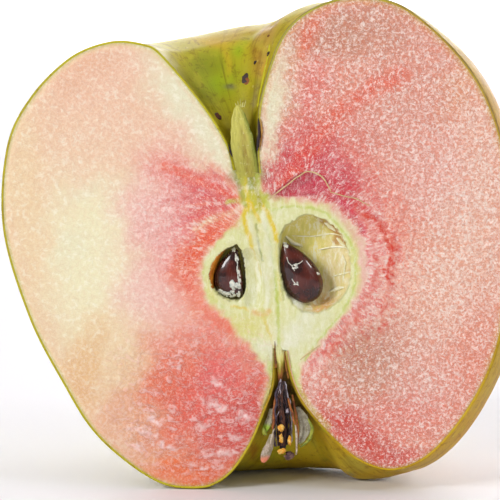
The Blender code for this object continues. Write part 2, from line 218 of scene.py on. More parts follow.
# Soft patches of colour in the flesh, painted in this order: what it is, middle X and Z, half length,
# half width, degrees it is turned, colour and strength.
FLESH_PATCHES = (
    ("peach top of the left lobe", -17.9, 22.9, 11.0, 6.0, 20, "peach", 0.75),
    ("warm edge high on the left", -20.2, 25.2, 5.5, 2.0, 35, "apricot", 0.6),
    ("pale right side of the left lobe", -7.4, 17.2, 8.4, 3.6, -62, "celery", 1.0),
    ("pale flesh by the stem", -4.0, 10.4, 3.6, 1.6, -70, "celery", 0.8),
    ("cream middle of the left lobe", -23.0, -0.8, 12.5, 7.2, 82, "ivory", 1.0),
    ("cream below the middle", -21.7, -9.0, 7.5, 5.2, 75, "ivory", 0.7),
    ("green hint, upper", -23.2, 8.0, 2.2, 1.5, 0, "celery", 0.5),
    ("green hint, lower", -26.3, 1.0, 1.8, 2.6, 0, "celery", 0.4),
    ("warm left margin", -31.6, 6.5, 13.0, 2.6, 86, "cream", 0.8),
    ("pink middle of the left lobe", -18.6, 13.4, 8.0, 4.4, 10, "peach", 0.55),
    ("pink flank of the left lobe", -13.0, 1.5, 10.0, 5.2, 80, "blush", 0.9),
    ("rose streak", -8.6, 8.2, 5.6, 1.9, -24, "rose", 0.75),
    ("magenta below the streak", -7.6, 4.6, 5.2, 2.2, -12, "rose", 0.6),
    ("pale pink beside it", -14.6, 4.6, 4.0, 3.4, 0, "shell", 0.6),
    ("red edge of the core, left", -8.6, -0.6, 5.2, 2.2, 52, "coral", 0.95),
    ("red outside the core, left", -11.4, -5.4, 4.8, 2.6, 85, "coral", 0.8),
    ("pale pink low on the left", -16.4, -8.2, 4.4, 3.8, 0, "shell", 0.75),
    ("red under the core, left", -8.0, -11.6, 3.4, 3.0, 40, "coral", 0.8),
    ("pink low on the left", -12.0, -14.0, 5.0, 3.0, 20, "blush", 0.7),
    ("coral foot of the left lobe", -12.2, -21.4, 9.6, 8.6, 0, "coral", 1.0),
    ("rose heart of the foot", -10.4, -23.4, 5.6, 5.4, 30, "rose", 0.55),
    ("cream low on the left", -23.0, -14.6, 6.0, 4.0, 60, "cream", 0.75),
    ("warm low margin", -27.2, -17.0, 7.5, 2.2, 64, "amber", 0.45),
    ("apricot foot", -22.0, -24.8, 4.6, 3.2, 40, "apricot", 0.8),
    ("deep red by the pit", -5.4, -25.0, 7.0, 2.0, 68, "crimson", 0.9),
    ("rose above the pit", -7.4, -18.2, 4.4, 3.0, 50, "rose", 0.75),
    ("orange foot edge", -13.3, -31.8, 8.0, 2.3, -4, "vermilion", 0.95),
    ("red foot by the pit", -8.2, -27.4, 3.8, 5.2, -30, "crimson", 0.55),
    ("brown-pink top of the right lobe", 14.5, 25.4, 9.5, 3.6, -4, "russet_pink", 0.8),
    ("brown patch under the top", 12.0, 24.6, 4.4, 2.4, 10, "umber_pink", 0.35),
    ("red inside the shoulder", 8.2, 24.6, 4.6, 1.3, 48, "coral", 0.75),
    ("cream left side of the right lobe", 3.6, 15.6, 8.8, 2.2, 80, "celery", 1.0),
    ("pink beside the cream", 6.9, 15.0, 7.0, 1.9, 64, "rose", 0.6),
    ("pink grain under the streak", 11.4, 9.0, 6.4, 4.0, 40, "rose", 0.75),
    ("magenta above the scoop", 5.8, 8.0, 5.2, 2.9, 42, "magenta", 1.1),
    ("magenta right of the scoop", 11.6, 3.8, 4.4, 2.4, -36, "magenta", 0.95),
    ("grey pink of the upper right", 20.2, 14.6, 8.8, 5.6, 40, "grey_pink", 0.65),
    ("peach right margin", 29.6, 3.4, 14.0, 3.6, 88, "petal", 0.85),
    ("orange spots at the right", 27.3, 15.0, 3.0, 2.0, 60, "amber", 0.25),
    ("cream patch at the right", 26.0, -2.4, 7.0, 3.8, 80, "petal", 0.8),
    ("salmon middle of the right lobe", 17.6, 0.6, 5.0, 6.6, 0, "coral", 0.4),
    ("pink middle of the right lobe", 22.4, -10.0, 8.0, 7.0, 60, "petal", 0.8),
    ("pale pink round the core", 13.7, -5.6, 6.4, 1.5, 84, "shell", 0.9),
    ("magenta by the core's shoulder", 11.7, 1.7, 2.2, 1.2, -40, "magenta", 0.75),
    ("brown-pink lower right", 12.6, -19.0, 5.8, 5.2, 40, "russet_pink", 0.95),
    ("browned spot, lower right", 10.4, -17.6, 2.6, 2.0, 0, "umber_pink", 0.6),
    ("rose lower right", 14.6, -27.0, 6.0, 3.2, 10, "rose", 0.4),
    ("salmon right margin", 24.4, -21.0, 8.0, 3.0, 58, "coral", 0.3),
    ("red foot of the right lobe", 8.2, -28.0, 7.0, 2.1, -38, "crimson", 0.9),
    ("pale fringe of the core", 3.9, -20.6, 5.2, 0.9, 74, "shell", 0.85),
    ("magenta between the streak and the scoop", 9.0, 6.2, 3.6, 3.0, 0, "magenta", 0.6),
    ("pale margin of the right lobe", 22.2, 4.6, 5.6, 5.6, 0, "shell", 0.55),
    ("pale foot margin of the right lobe", 18.9, -21.6, 5.0, 5.0, 0, "shell", 0.4),
    ("red foot edge", 13.9, -32.6, 5.0, 1.2, 4, "crimson", 0.75),
)
# Lines and ridges in the flesh: the points they run through, half width, colour, strength and how far
# they lie below the cut, which is negative where they stand proud.
FLESH_STROKES = (
    ("red streak of the right lobe", ((3.6, 5.6), (5.8, 8.6), (8.6, 11.4), (12.0, 14.7), (16.2, 16.9),
     (20.4, 18.3)), 1.3, "coral", 0.8, 0.0),
    ("ridge round the core", ((12.5, 1.3), (14.8, -0.6), (16.5, -3.2), (16.3, -5.9), (15.7, -7.8),
     (16.2, -9.2)), 0.42, "brick", 1.5, -0.14),
    ("its branch", ((15.7, -7.8), (14.9, -11.1), (14.2, -15.1)), 0.3, "brick", 0.9, -0.08),
    ("inner ridge", ((10.6, 2.2), (13.2, -0.4), (14.4, -3.4), (14.3, -6.4), (13.6, -9.0), (11.4, -12.2),
     (8.6, -15.2), (6.2, -17.4)), 0.5, "brick", 0.8, -0.08),
    ("furrow beside the ridge", ((13.4, 1.6), (15.9, -0.8), (17.6, -3.4), (17.4, -6.2)), 0.3, "crimson",
     0.5, 0.12),
    ("magenta furrow at the core", ((9.9, 3.2), (11.4, 1.6), (12.6, -0.3), (13.2, -1.6)), 0.45, "magenta",
     0.8, 0.22),
    ("core line", ((1.3, 2.4), (3.2, 2.7), (5.3, 2.5), (7.5, 1.9), (9.2, 0.5), (10.7, -1.9), (11.5, -4.0),
     (11.5, -6.7), (10.6, -9.9), (8.2, -13.0), (5.4, -15.5), (3.3, -18.0)), 0.15, "lime", 0.8, -0.03),
    ("salmon fringe of the core", ((5.0, 3.7), (8.0, 2.9), (10.2, 1.1), (11.9, -1.6), (12.6, -4.0),
     (12.6, -6.9), (11.6, -10.4), (9.0, -13.8), (6.2, -16.0)), 0.6, "grey_pink", 0.75, 0.0),
    ("core line, left", ((-2.4, 2.0), (-5.0, 0.2), (-7.2, -1.9), (-8.7, -4.4), (-8.6, -7.6), (-6.6, -9.8)),
     0.16, "lime", 0.35, 0.0),
    ("left fibre, upper", ((-2.8, 4.1), (-5.9, 6.4), (-9.0, 8.2), (-12.2, 10.0)), 0.55, "coral", 0.8, 0.04),
    ("left fibre, middle", ((-3.2, 3.9), (-6.7, 5.2), (-10.0, 5.6), (-13.4, 5.1)), 0.3, "crimson", 0.4,
     0.04),
    ("left fibre, lower", ((-3.3, 3.4), (-6.3, 3.2), (-9.7, 2.6), (-12.6, 1.2)), 0.35, "rose", 0.5, 0.0),
    ("pale band under the fibres", ((-2.6, 3.3), (-5.0, 2.6), (-7.4, 1.9), (-9.0, 1.2)), 0.45, "cream", 0.8,
     -0.03),
    ("red arc of the core, left", ((-3.8, 1.6), (-5.9, 1.1), (-7.9, -0.2), (-9.5, -2.3), (-10.8, -5.2)), 0.8,
     "vermilion", 0.6, 0.0),
    ("red arc under the core, left", ((-10.8, -5.2), (-10.2, -8.0), (-8.6, -10.6), (-6.2, -12.6)), 0.7,
     "coral", 0.6, 0.0),
    ("green line down the core", ((0.9, -5.5), (0.5, -10.9), (0.2, -14.9), (-0.2, -19.6)), 0.2, "lime",
     0.9, 0.03),
    ("slit of the column", ((-0.9, 0.9), (-0.9, -1.9), (-0.7, -4.0)), 0.12, "moss", 0.85, 0.14),
    ("green streak of the column, left", ((-2.1, -2.6), (-1.9, -6.0), (-2.1, -9.6)), 0.16, "straw", 0.8,
     0.05),
    ("green streak of the column, right", ((0.5, 0.4), (0.7, -3.6), (0.6, -8.2)), 0.14, "lime", 0.6, 0.05),
    ("yellow strand, left", ((-1.5, 3.6), (-2.3, 2.6), (-2.4, 0.9), (-2.1, -0.3), (-1.9, -1.9)), 0.3,
     "gold", 1.6, -0.03),
    ("yellow strand, right", ((0.3, 3.2), (0.9, 1.6), (1.4, -0.2), (1.5, -1.6)), 0.3, "gold", 1.6, -0.03),
    ("yellow strand, middle", ((-1.2, 3.8), (-0.9, 2.4), (-0.3, 1.2)), 0.22, "gold", 1.2, 0.0),
    ("yellow strand, low left", ((-2.2, -0.8), (-1.6, -3.6), (-1.2, -6.0)), 0.16, "gold", 0.8, 0.0),
    ("yellow strand, low right", ((1.4, -2.0), (1.3, -6.0), (1.2, -9.6)), 0.2, "straw", 1.0, 0.0),
    ("yellow strand, foot", ((-1.6, -11.6), (-0.8, -14.6), (-0.3, -17.6)), 0.2, "gold", 0.5, 0.0),
    ("white column, left", ((-1.6, 1.8), (-1.6, -1.4)), 0.45, "core_white", 0.6, -0.06),
    ("white column, right", ((0.2, 2.2), (0.3, -2.4), (0.4, -6.0)), 0.5, "core_white", 0.7, -0.08),
    ("side of the right cell", ((2.3, -0.6), (1.7, -4.3), (1.4, -9.6)), 0.16, "moss", 0.55, 0.1),
    ("column edge by the seed bed", ((-0.6, -4.6), (-0.5, -8.0), (-0.8, -10.4)), 0.3, "core_white", 0.6,
     -0.05),
    ("knot under the seed bed", ((-2.6, -10.9), (-1.6, -11.2), (-0.7, -10.9)), 0.32, "amber", 0.75, 0.0),
    ("yellow rim under the left seed", ((-5.6, -9.7), (-4.2, -10.1), (-3.2, -10.6)), 0.18, "gold", 0.75,
     0.0),
    ("rim of the pit, left", ((-1.0, -17.6), (-1.7, -20.8), (-2.9, -23.6)), 0.35, "lime", 0.75, 0.0),
    ("rim of the pit, right", ((0.9, -17.6), (1.7, -20.6), (3.1, -24.2), (5.4, -27.2)), 0.4, "lime", 0.65,
     0.0),
    ("green base of the stem", ((-2.2, 7.7), (-0.2, 7.7)), 1.5, "moss", 0.75, 0.0),
    ("stem bark in the flesh, left", ((-2.7, 9.7), (-2.7, 7.7), (-2.4, 5.6), (-2.0, 3.6)), 0.3, "moss", 0.6,
     0.06),
    ("stem bark in the flesh, right", ((-0.2, 9.6), (0.1, 6.8), (0.4, 4.6), (1.0, 3.0)), 0.3, "lime", 0.6,
     0.05),
    ("stem core fibre, left", ((-1.7, 9.6), (-1.5, 7.4), (-1.7, 5.0), (-1.3, 3.2)), 0.24, "gold", 1.2, 0.0),
    ("stem core fibre, right", ((-1.0, 9.6), (-0.8, 7.6), (-0.4, 5.6), (0.0, 3.4)), 0.26, "olive", 1.0,
     0.05),
    ("stem moss, low", ((-1.9, 8.6), (-1.2, 7.2), (-1.0, 5.8)), 0.4, "moss", 0.7, 0.05),
    ("green node, left", ((-2.3, 3.9), (-3.6, 4.3), (-4.4, 4.2)), 0.3, "lime", 0.8, 0.0),
    ("green node, right", ((0.9, 4.6), (1.9, 4.4), (2.8, 4.0)), 0.35, "moss", 0.4, 0.0),
)
# Wet glints low on the left lobe: the points they run through and their half width.
WET_GLINTS = (
    (((-12.0, -28.8), (-9.6, -29.3), (-7.4, -29.4)), 0.42),
    (((-21.5, -24.7), (-19.8, -25.2), (-18.2, -26.0)), 0.5),
    (((-18.1, -27.0), (-15.4, -28.2)), 0.36), (((-22.4, -26.6), (-19.6, -27.9)), 0.26),
    (((-13.5, -30.4), (-12.0, -31.2)), 0.34), (((-11.2, -30.9), (-9.5, -31.4)), 0.24),
    (((-6.2, -24.5), (-5.6, -24.9)), 0.75), (((-9.5, -22.6), (-8.9, -23.2)), 0.7),
    (((-9.2, -19.2), (-8.6, -19.8)), 0.6), (((-18.6, -23.6), (-17.2, -24.4)), 0.5),
    (((-14.4, -16.6), (-13.7, -17.1)), 0.5), (((-15.6, -22.5), (-14.8, -22.9)), 0.5),
    (((-12.2, -25.1), (-11.0, -25.7)), 0.45), (((-7.8, -27.1), (-6.8, -27.5)), 0.42),
    (((-11.4, -21.6), (-10.8, -22.2)), 0.4),
)
# Over this far on either side of the middle the colours of the lobes run into each other, and this
# close to the skin the flesh is paler.
LOBE_BLEND, MARGIN_PALE = 3.0, 0.45
# From this share of a seed cell's reach to its rim, its lining gives way to the core.
CELL_RIM = 0.965
# How softly the feet are rounded where they meet the floor, and how far they are let down again.
FOOT_ROUND, FOOT_SINK = 0.7, 0.4
# Fibres that fan out to the left from the foot of the stem: their number, root, half width and height.
FIBRES = 26
FIBRE_ROOT = (-2.9, 3.9)
FIBRE_WIDTH, FIBRE_HEIGHT = 0.16, 0.03
# The grain of the flesh runs out from this point, and is drawn at its true size at this radius.
FAN_MIDDLE, FAN_RADIUS = (2.0, -4.0), 13.0

# Soft patches in the core and in the seed cells, given in the same way.
CORE_PATCHES = (
    ("white foot of the core", -0.4, -15.0, 2.6, 2.0, 60, "core_white", 0.8),
    ("pale right of the core", 3.4, -13.8, 3.4, 1.5, 45, "core_white", 0.8),
    ("yellow left of the core", -4.2, -12.2, 2.6, 1.3, -40, "straw", 0.8),
    ("yellow middle of the core", -1.2, -12.4, 1.5, 2.0, 0, "straw", 0.6),
    ("top of the core, right", 6.0, 2.8, 4.4, 0.9, -8, "straw", 0.5),
    ("right side of the core", 11.2, -5.5, 5.5, 0.8, 88, "straw", 0.6),
    ("rosy edge of the core", 12.6, -5.2, 7.0, 0.7, 86, "shell", 0.8),
    ("left side of the core", -8.2, -6.8, 3.0, 1.0, 80, "straw", 0.7),
    ("column", -0.4, -3.4, 5.2, 1.5, 92, "column", 0.8),
    ("column top", -0.8, 1.6, 1.6, 1.3, 0, "straw", 0.7),
)
CELL_PATCHES = (
    ("cream right side", 8.8, -6.0, 5.0, 2.3, 88, "cell_cream", 0.95),
    ("cream bottom", 6.6, -11.0, 3.6, 1.5, 12, "cell_cream", 0.9),
    ("olive top", 5.6, -0.3, 3.4, 1.5, -12, "membrane", 0.9),
    ("tan right rim", 9.4, -1.6, 2.8, 0.45, -58, "tan_rim", 0.9),
    ("tan rim, lower", 10.6, -5.4, 2.2, 0.35, 90, "tan_rim", 0.6),
    ("orange under the seed", 6.4, -11.2, 1.4, 0.6, 25, "amber", 0.75),
    ("pale flesh under the seed", 2.6, -10.8, 1.7, 2.2, 0, "core_white", 1.0),
)

# Soft patches on the skin: middle in the apple's frame, half sizes along X, Y and Z, colour, strength.
SKIN_PATCHES = (
    ("sunny side", 30.0, 12.0, 4.0, 16.0, 24.0, 24.0, "ochre", 0.75),
    ("amber rim of the right flank", 33.5, 2.0, -7.0, 4.0, 3.0, 17.0, "amber", 0.8),
    ("sunny foot", 16.0, 12.0, -28.0, 15.0, 16.0, 9.0, "ochre", 0.8),
    ("green back", -16.0, 32.0, 4.0, 18.0, 14.0, 24.0, "leaf", 0.55),
    ("warm shoulder behind", 4.0, 26.0, 22.0, 12.0, 12.0, 8.0, "gold", 0.4),
    ("blushed cheek behind", 22.0, 26.0, -6.0, 12.0, 14.0, 15.0, "rust", 0.3),
    ("green bowl of the stem", -4.6, 5.6, 20.6, 3.6, 4.0, 4.6, "leaf", 0.85),
    ("fresh green patch", -1.1, 9.2, 24.3, 1.0, 1.8, 1.4, "fresh", 0.8),
    ("fresh green low in the bowl", -3.8, 5.4, 19.6, 1.2, 1.6, 1.8, "fresh", 0.6),
    ("yellow blush, left", -6.0, 12.0, 25.6, 2.2, 2.4, 1.3, "gold", 0.65),
    ("orange blush", -3.8, 10.4, 25.2, 2.2, 1.8, 1.3, "amber", 0.6),
    ("brown-pink rim", -1.4, 12.6, 26.2, 3.4, 2.2, 1.0, "tan", 0.6),
    ("tan flank", 3.0, 8.6, 25.8, 1.6, 3.2, 2.6, "tan", 0.95),
    ("tan flank, lower", 1.8, 5.6, 22.6, 1.4, 2.0, 2.6, "tan", 0.6),
    ("orange patch", 2.2, 4.4, 21.2, 0.7, 0.9, 1.4, "amber", 0.8),
    ("olive behind the stem", 0.5, 3.2, 17.4, 1.8, 1.8, 3.4, "olive", 0.85),
    # Painted shade deep in the stem's bowl: olive and deep olive patches at its foot and on its left wall.
    ("painted shade, foot of the bowl", 0.2, 1.8, 14.0, 2.4, 2.0, 2.6, "olive", 0.85),
    ("painted shade, left wall of the bowl", -6.8, 2.0, 18.4, 2.4, 1.7, 6.0, "deep_olive", 0.6),
    ("painted shade, left foot of the bowl", -3.6, 1.2, 12.8, 1.2, 1.4, 3.0, "olive", 0.9),
    ("mossy shade in the bowl", -5.8, 6.6, 22.4, 1.6, 2.0, 1.6, "deep_olive", 0.35),
    ("yellow streak in the bowl", -3.2, 7.4, 22.6, 0.6, 2.4, 2.4, "gold", 0.5),
    ("brown streak by the crease", 1.2, 6.2, 23.2, 0.5, 2.6, 2.2, "rust", 0.5),
    ("grey mark", -2.6, 5.2, 19.0, 0.6, 0.5, 0.4, "grey", 0.8),
    ("orange rim of the bowl, right", 7.6, 4.2, 27.6, 2.4, 3.4, 1.4, "gold", 0.7),
    ("golden pit skin, right", 4.6, 7.6, -31.6, 3.6, 5.4, 3.4, "ochre", 0.6),
    ("ochre pit skin, back", 0.6, 9.6, -32.6, 3.6, 3.6, 2.4, "ochre", 0.45),
    ("green pit skin", -2.6, 8.0, -31.8, 1.8, 2.6, 2.0, "leaf", 0.55),
    ("brown streak, left of the pit", -5.4, 5.6, -30.6, 0.5, 3.0, 2.6, "rust", 0.8),
    ("yellow left lip of the pit", -6.4, 2.0, -30.6, 1.6, 2.0, 3.4, "gold", 0.7),
    ("grey-green sheen", 8.4, 5.0, -33.8, 2.4, 2.4, 1.2, "grey_green", 0.7),
    ("purple spot", 6.6, 6.6, -35.2, 0.8, 0.8, 0.6, "grey", 0.8),
    # Painted shade along the furrow under the pit.
    ("painted shade in the furrow, upper", 2.9, 6.6, -30.6, 0.4, 0.9, 1.4, "deep_olive", 0.7),
    ("painted shade in the furrow, lower", 4.0, 9.0, -33.4, 0.4, 1.0, 1.4, "deep_olive", 0.6),
    ("brown throat of the pit", 0.0, 2.4, -22.8, 3.4, 2.6, 4.8, "throat", 1.0),
    ("golden lip, left", -2.2, 0.0, -23.6, 0.8, 0.6, 4.0, "amber", 0.9),
    ("golden lip, right", 2.2, 0.0, -24.2, 0.8, 0.6, 3.6, "amber", 0.9),
    ("green lip of the pit", 3.7, 1.0, -28.4, 1.1, 1.6, 1.4, "fresh", 0.9),
    ("top of the pit", 0.0, 1.0, -17.8, 1.6, 2.0, 2.2, "rust", 0.9),
    # Painted light: the floor of the pit is brightened with the colour of the cut edge.
    ("painted light on the floor of the pit", 3.0, 8.0, -31.5, 6.5, 6.0, 3.0, "edge", 0.6),
)
# Grooves in the skin: points in the apple's frame, half width and depth.
SKIN_GROOVES = (
    ("crease of the bowl", ((3.5, 10.5, 26.7), (3.0, 5.9, 24.1), (1.9, 3.8, 20.3), (0.7, 2.5, 16.5)), 0.7,
     0.35),
    ("fold beside the crease", ((0.4, 11.4, 25.6), (0.2, 8.0, 23.2), (-0.4, 5.4, 19.6)), 0.9, 0.18),
    ("furrow under the pit", ((1.8, 5.4, -29.4), (2.7, 6.6, -30.7), (3.9, 10.0, -34.3)), 0.6, 0.25),
    ("furrow left of the pit", ((-4.6, 5.2, -29.2), (-5.5, 8.2, -32.5)), 0.7, 0.25),
)
# Scabs and holes on the skin: middle in the apple's frame, radius, and finish.
BLEMISHES = (
    ("hole", (-0.6, 5.6, 20.1), 0.72, "scab_dark"),
    ("hole_rim", (-0.35, 5.5, 19.6), 0.55, "scab_brown"),
    ("red_spot", (-4.5, 2.0, 15.6), 0.6, "scab_red"),
    ("mark_left", (1.0, 5.9, 22.0), 0.28, "scab_dark"),
    ("mark_right", (2.7, 5.2, 23.1), 0.34, "scab_dark"),
    ("mark_high", (3.0, 7.4, 25.4), 0.22, "scab_brown"),
)

# The stem stub in the cut face: height, left edge and right edge.
STEM_ROWS = (
    (7.2, -2.7, 0.3), (8.9, -3.0, 0.32), (9.8, -3.1, 0.25), (11.1, -3.1, 0.15), (12.6, -2.95, 0.05),
    (13.6, -2.8, -0.2), (15.1, -2.55, -0.5), (16.3, -2.1, -0.95), (16.8, -1.75, -1.15), (17.0, -1.45, -1.35),
)
# How deep the stub is, as a share of its half width.
STEM_DEPTH = 0.85
STEM_BARK_COLOUR = "6E7A10"
# Slits in the skin and flesh beside the stem, drawn as near-black threads that are painted shade in the gaps,
# and the tan border of the longer one.
STEM_SLITS = (
    (
        (1.05, -0.03, 14.9, 0.06), (0.95, -0.05, 13.4, 0.2), (0.72, -0.05, 12.0, 0.24),
        (0.35, -0.03, 10.6, 0.08),
    ),
    ((-3.3, -0.02, 11.9, 0.03), (-3.15, -0.03, 10.9, 0.1), (-3.0, -0.02, 10.2, 0.04)),
)
SLIT_BORDER = (
    (1.35, -0.02, 14.7, 0.05), (1.35, -0.04, 13.6, 0.14), (1.15, -0.04, 12.2, 0.12),
    (0.7, -0.02, 10.6, 0.04),
)

# The seeds: tip, blunt end, half width, half thickness, and the X beyond which a seed is cut off.
SEEDS = {
    "seed_right": ((2.25, 1.2, -2.0), (5.3, 1.3, -10.4), 2.55, 1.35, None),
    "seed_left": ((-4.3, 1.4, -2.1), (-5.4, 1.6, -8.7), 2.68, 1.1, -3.95),
}
# Clusters of pale crumbs on the seeds: middle X and Z, and half sizes along X, Y and Z.
SEED_CRUMBS = (
    ((3.5, -5.3), (0.22, 0.12, 0.16)), ((2.6, -2.4), (0.18, 0.12, 0.3)), ((3.4, -7.6), (0.16, 0.1, 0.12)),
    ((6.4, -6.6), (0.13, 0.12, 0.15)), ((-4.5, -2.4), (0.14, 0.12, 0.24)), ((-4.2, -3.6), (0.14, 0.12, 0.34)),
    ((-4.15, -5.2), (0.12, 0.12, 0.4)), ((-4.2, -6.4), (0.14, 0.12, 0.3)), ((-6.9, -7.5), (0.3, 0.12, 0.18)),
    ((-6.1, -8.2), (0.34, 0.14, 0.24)), ((-5.4, -8.6), (0.26, 0.14, 0.2)), ((-4.9, -7.1), (0.36, 0.12, 0.46)),
    ((-5.4, -7.9), (0.24, 0.12, 0.2)), ((-4.5, -8.1), (0.2, 0.12, 0.3)),
    ((-4.7, -7.2), (0.34, 0.16, 0.42)), ((-4.9, -7.0), (0.26, 0.16, 0.3)), ((-6.6, -7.9), (0.3, 0.12, 0.2)),
)
CRUMBS_EACH, CRUMB_SPREAD = 7, 1.3
# Pale threads on the seeds, and the middle line of the tan lining beside the left one: X and Z.
SEED_THREADS = (
    ((2.55, -4.0), (2.7, -4.7), (3.1, -5.2), (3.4, -5.9)),
    ((3.1, -5.2), (3.6, -5.0), (4.1, -5.0), (4.6, -4.7)),
    ((2.9, -6.9), (3.2, -7.5), (3.7, -7.9)),
    ((-4.3, -2.8), (-4.15, -4.0), (-4.25, -5.6), (-4.15, -7.2)),
)
SEED_THREAD_RADIUS = 0.05
CELL_LINING = ((-5.0, -1.5), (-6.2, -2.3), (-7.4, -3.5), (-8.1, -5.2), (-8.0, -6.8), (-7.4, -8.0))
LINING_MIDDLE, LINING_WIDTH, LINING_THICKNESS = (-5.4, -5.4), 0.75, 0.12

# Threads: points X, Y, Z and radius.
CORE_THREADS = {
    "strand_shoulder": ((9.3, -0.03, 4.1, 0.05), (11.3, -0.06, 3.3, 0.07), (12.8, -0.08, 2.7, 0.07),
                        (14.4, -0.03, 1.6, 0.04)),
    "strand_scoop": ((1.0, -0.03, 3.9, 0.04), (3.5, -0.06, 5.5, 0.08), (5.4, -0.1, 6.6, 0.08),
                     (7.0, -0.1, 7.1, 0.08), (8.6, -0.06, 6.1, 0.09), (9.5, -0.03, 4.2, 0.06)),
    "strand_low": ((5.6, -0.03, -16.2, 0.04), (3.9, -0.06, -17.1, 0.09), (2.7, -0.03, -17.9, 0.04)),
}
# Wrinkles of the membrane in the right cell: points X and Z in the cut face, and half width.
CELL_WRINKLES = (
    (((6.6, -3.8), (9.1, -3.6), (10.9, -3.9)), 0.16),
    (((8.0, -7.6), (9.6, -7.2), (10.7, -7.0)), 0.14),
    (((3.4, -1.5), (6.0, -1.9), (8.6, -1.8), (10.2, -2.2)), 0.12),
    (((7.9, -0.2), (8.6, -0.7), (9.3, -1.5)), 0.3),
    (((9.3, -2.4), (9.9, -3.0), (10.4, -3.6)), 0.26),
    (((9.9, -4.6), (10.0, -6.2), (9.5, -8.4)), 0.12),
    (((7.4, -9.6), (8.6, -9.2), (9.6, -9.0)), 0.26),
    (((2.6, -1.4), (3.4, -2.4), (4.6, -3.0)), 0.3),
)
FILAMENTS = {
    "filament_left": ((-1.2, 0.3, -22.5, 0.14), (-1.75, 0.2, -24.9, 0.18), (-2.1, 0.2, -26.9, 0.16)),
    "filament_right": (
        (1.0, 0.8, -22.6, 0.14), (1.2, 0.7, -25.0, 0.18), (1.2, 0.6, -27.4, 0.16), (0.9, 0.5, -29.2, 0.14),
    ),
    "filament_front": ((0.45, 0.2, -22.9, 0.14), (0.75, 0.0, -24.8, 0.17), (0.95, -0.1, -26.5, 0.14)),
}
PALE_THREADS = {
    "pale_thread_right": ((1.0, 0.1, -26.6, 0.1), (1.0, 0.1, -28.2, 0.16), (0.8, 0.0, -29.8, 0.14),
                          (0.6, 0.0, -30.6, 0.08)),
    "pale_thread_left": ((-1.9, 0.2, -26.8, 0.08), (-2.3, 0.2, -27.6, 0.14), (-2.7, 0.2, -28.8, 0.16)),
}
STYLES = (
    (-0.05, 0.4, -20.6, 0.2), (-0.35, 0.7, -22.4, 0.4), (-0.7, 1.3, -25.5, 0.65), (-1.0, 1.7, -28.4, 0.65),
    (-1.3, 1.8, -30.0, 0.45),
)
STYLE_FIBRES = 36
PALE_STYLE = (
    (-0.2, 0.1, -20.2, 0.1), (-0.4, 0.12, -21.3, 0.24), (-0.35, 0.2, -22.4, 0.2), (-0.2, 0.25, -23.4, 0.08),
)
# The tongue of tissue that runs down into the pit between its two slits.
TONGUE = (
    (-0.1, 0.6, -14.9, 1.25), (-0.05, 0.5, -16.0, 1.05), (0.0, 0.42, -17.0, 0.8), (-0.02, 0.36, -18.0, 0.58),
    (-0.15, 0.42, -19.2, 0.42), (-0.35, 0.62, -20.4, 0.3), (-0.4, 0.9, -21.6, 0.1),
)
SLITS = (
    (
        (-0.36, 0.02, -15.0, 0.03), (-0.5, 0.06, -16.4, 0.1), (-0.62, 0.1, -17.6, 0.16),
        (-0.7, 0.2, -18.6, 0.2),
    ),
    (
        (0.74, 0.1, -16.6, 0.03), (0.72, 0.1, -17.6, 0.12), (0.74, 0.12, -18.8, 0.16),
        (0.86, 0.16, -20.2, 0.14),
    ),
)
# Pollen sacs: middle, half sizes and finish.
ANTHERS = {
    "anther_top": ((-1.0, -0.1, -26.8), (0.42, 0.3, 0.45), "pollen"),
    "anther_middle": ((-1.15, -0.1, -28.2), (0.26, 0.28, 0.55), "pollen"),
    "anther_side": ((0.0, -0.05, -28.6), (0.25, 0.25, 0.5), "pollen"),
    "anther_low": ((-1.15, -0.2, -29.9), (0.5, 0.28, 0.34), "pollen"),
    "anther_dark": ((-0.35, 0.3, -30.7), (0.66, 0.5, 0.56), "dry_flower"),
}
# Sepals: points X, Y, Z and half width, and the direction across them.
SEPALS = {
    "sepal_left": (
        ((-2.0, 1.0, -24.2, 0.2), (-2.5, 1.0, -25.8, 0.5), (-3.1, 0.9, -26.9, 0.5), (-3.4, 0.8, -27.6, 0.1)),
        (1.0, -0.4, 0.1),
    ),
    "sepal_right": (
        ((1.5, 1.3, -24.4, 0.2), (2.0, 1.5, -25.8, 0.65), (2.2, 1.4, -27.4, 0.8), (1.6, 1.1, -28.8, 0.5),
         (1.1, 0.9, -29.4, 0.08)),
        (1.0, -0.3, 0.0),
    ),
    "sepal_tip": (
        (
            (-2.3, 0.3, -27.6, 0.25), (-2.7, 0.2, -28.7, 0.45), (-3.4, 0.2, -30.0, 0.6),
            (-3.8, 0.3, -30.8, 0.45), (-4.0, 0.35, -31.2, 0.08),
        ),
        (1.0, 0.3, -0.3),
    ),
}
# Bright edges of two sepals: points X, Y, Z and radius.
SEPAL_EDGES = (
    ((2.75, 0.6, -26.0, 0.1), (3.1, 0.5, -27.4, 0.24), (2.5, 0.5, -28.9, 0.22), (1.2, 0.6, -29.8, 0.08)),
    ((-3.4, 0.5, -26.6, 0.1), (-3.3, 0.4, -27.2, 0.3), (-3.0, 0.4, -27.6, 0.12)),
)
SEPAL_THICKNESS, SEPAL_CUP = 0.3, 0.3
# The hairs on the sepals: radii at tip and root, how far they lean and turn in radians, and the
# shares of their length between which they vary.
HAIR_TIP, HAIR_ROOT, HAIR_LEAN, HAIR_TURN = 0.006, 0.026, 0.9, 6.28
HAIR_SHORTEST, HAIR_LONGEST = 0.5, 1.3

# The camera's place and lens, from the photograph.
CAMERA_TARGET = Vector((-1.37, -18.2, 32.6)) * MM
CAMERA_SIDE, CAMERA_RISE = math.radians(5.0), math.radians(7.0)
CAMERA_DISTANCE = 420.0 * MM
CAMERA_LENS = 226.8


def linear(code):
    """A usual hexadecimal colour as the linear numbers that Blender works in."""
    shares = [int(code[at : at + 2], 16) / 255 for at in (0, 2, 4)]
    return tuple(s / 12.92 if s <= 0.04045 else ((s + 0.055) / 1.055) ** 2.4 for s in shares)


def tint(name, description, code):
    """A colour that the user may change."""
    return FloatVectorProperty(
        name=name, description=description, subtype="COLOR", size=3, min=0.0, max=1.0, default=linear(code)
    )


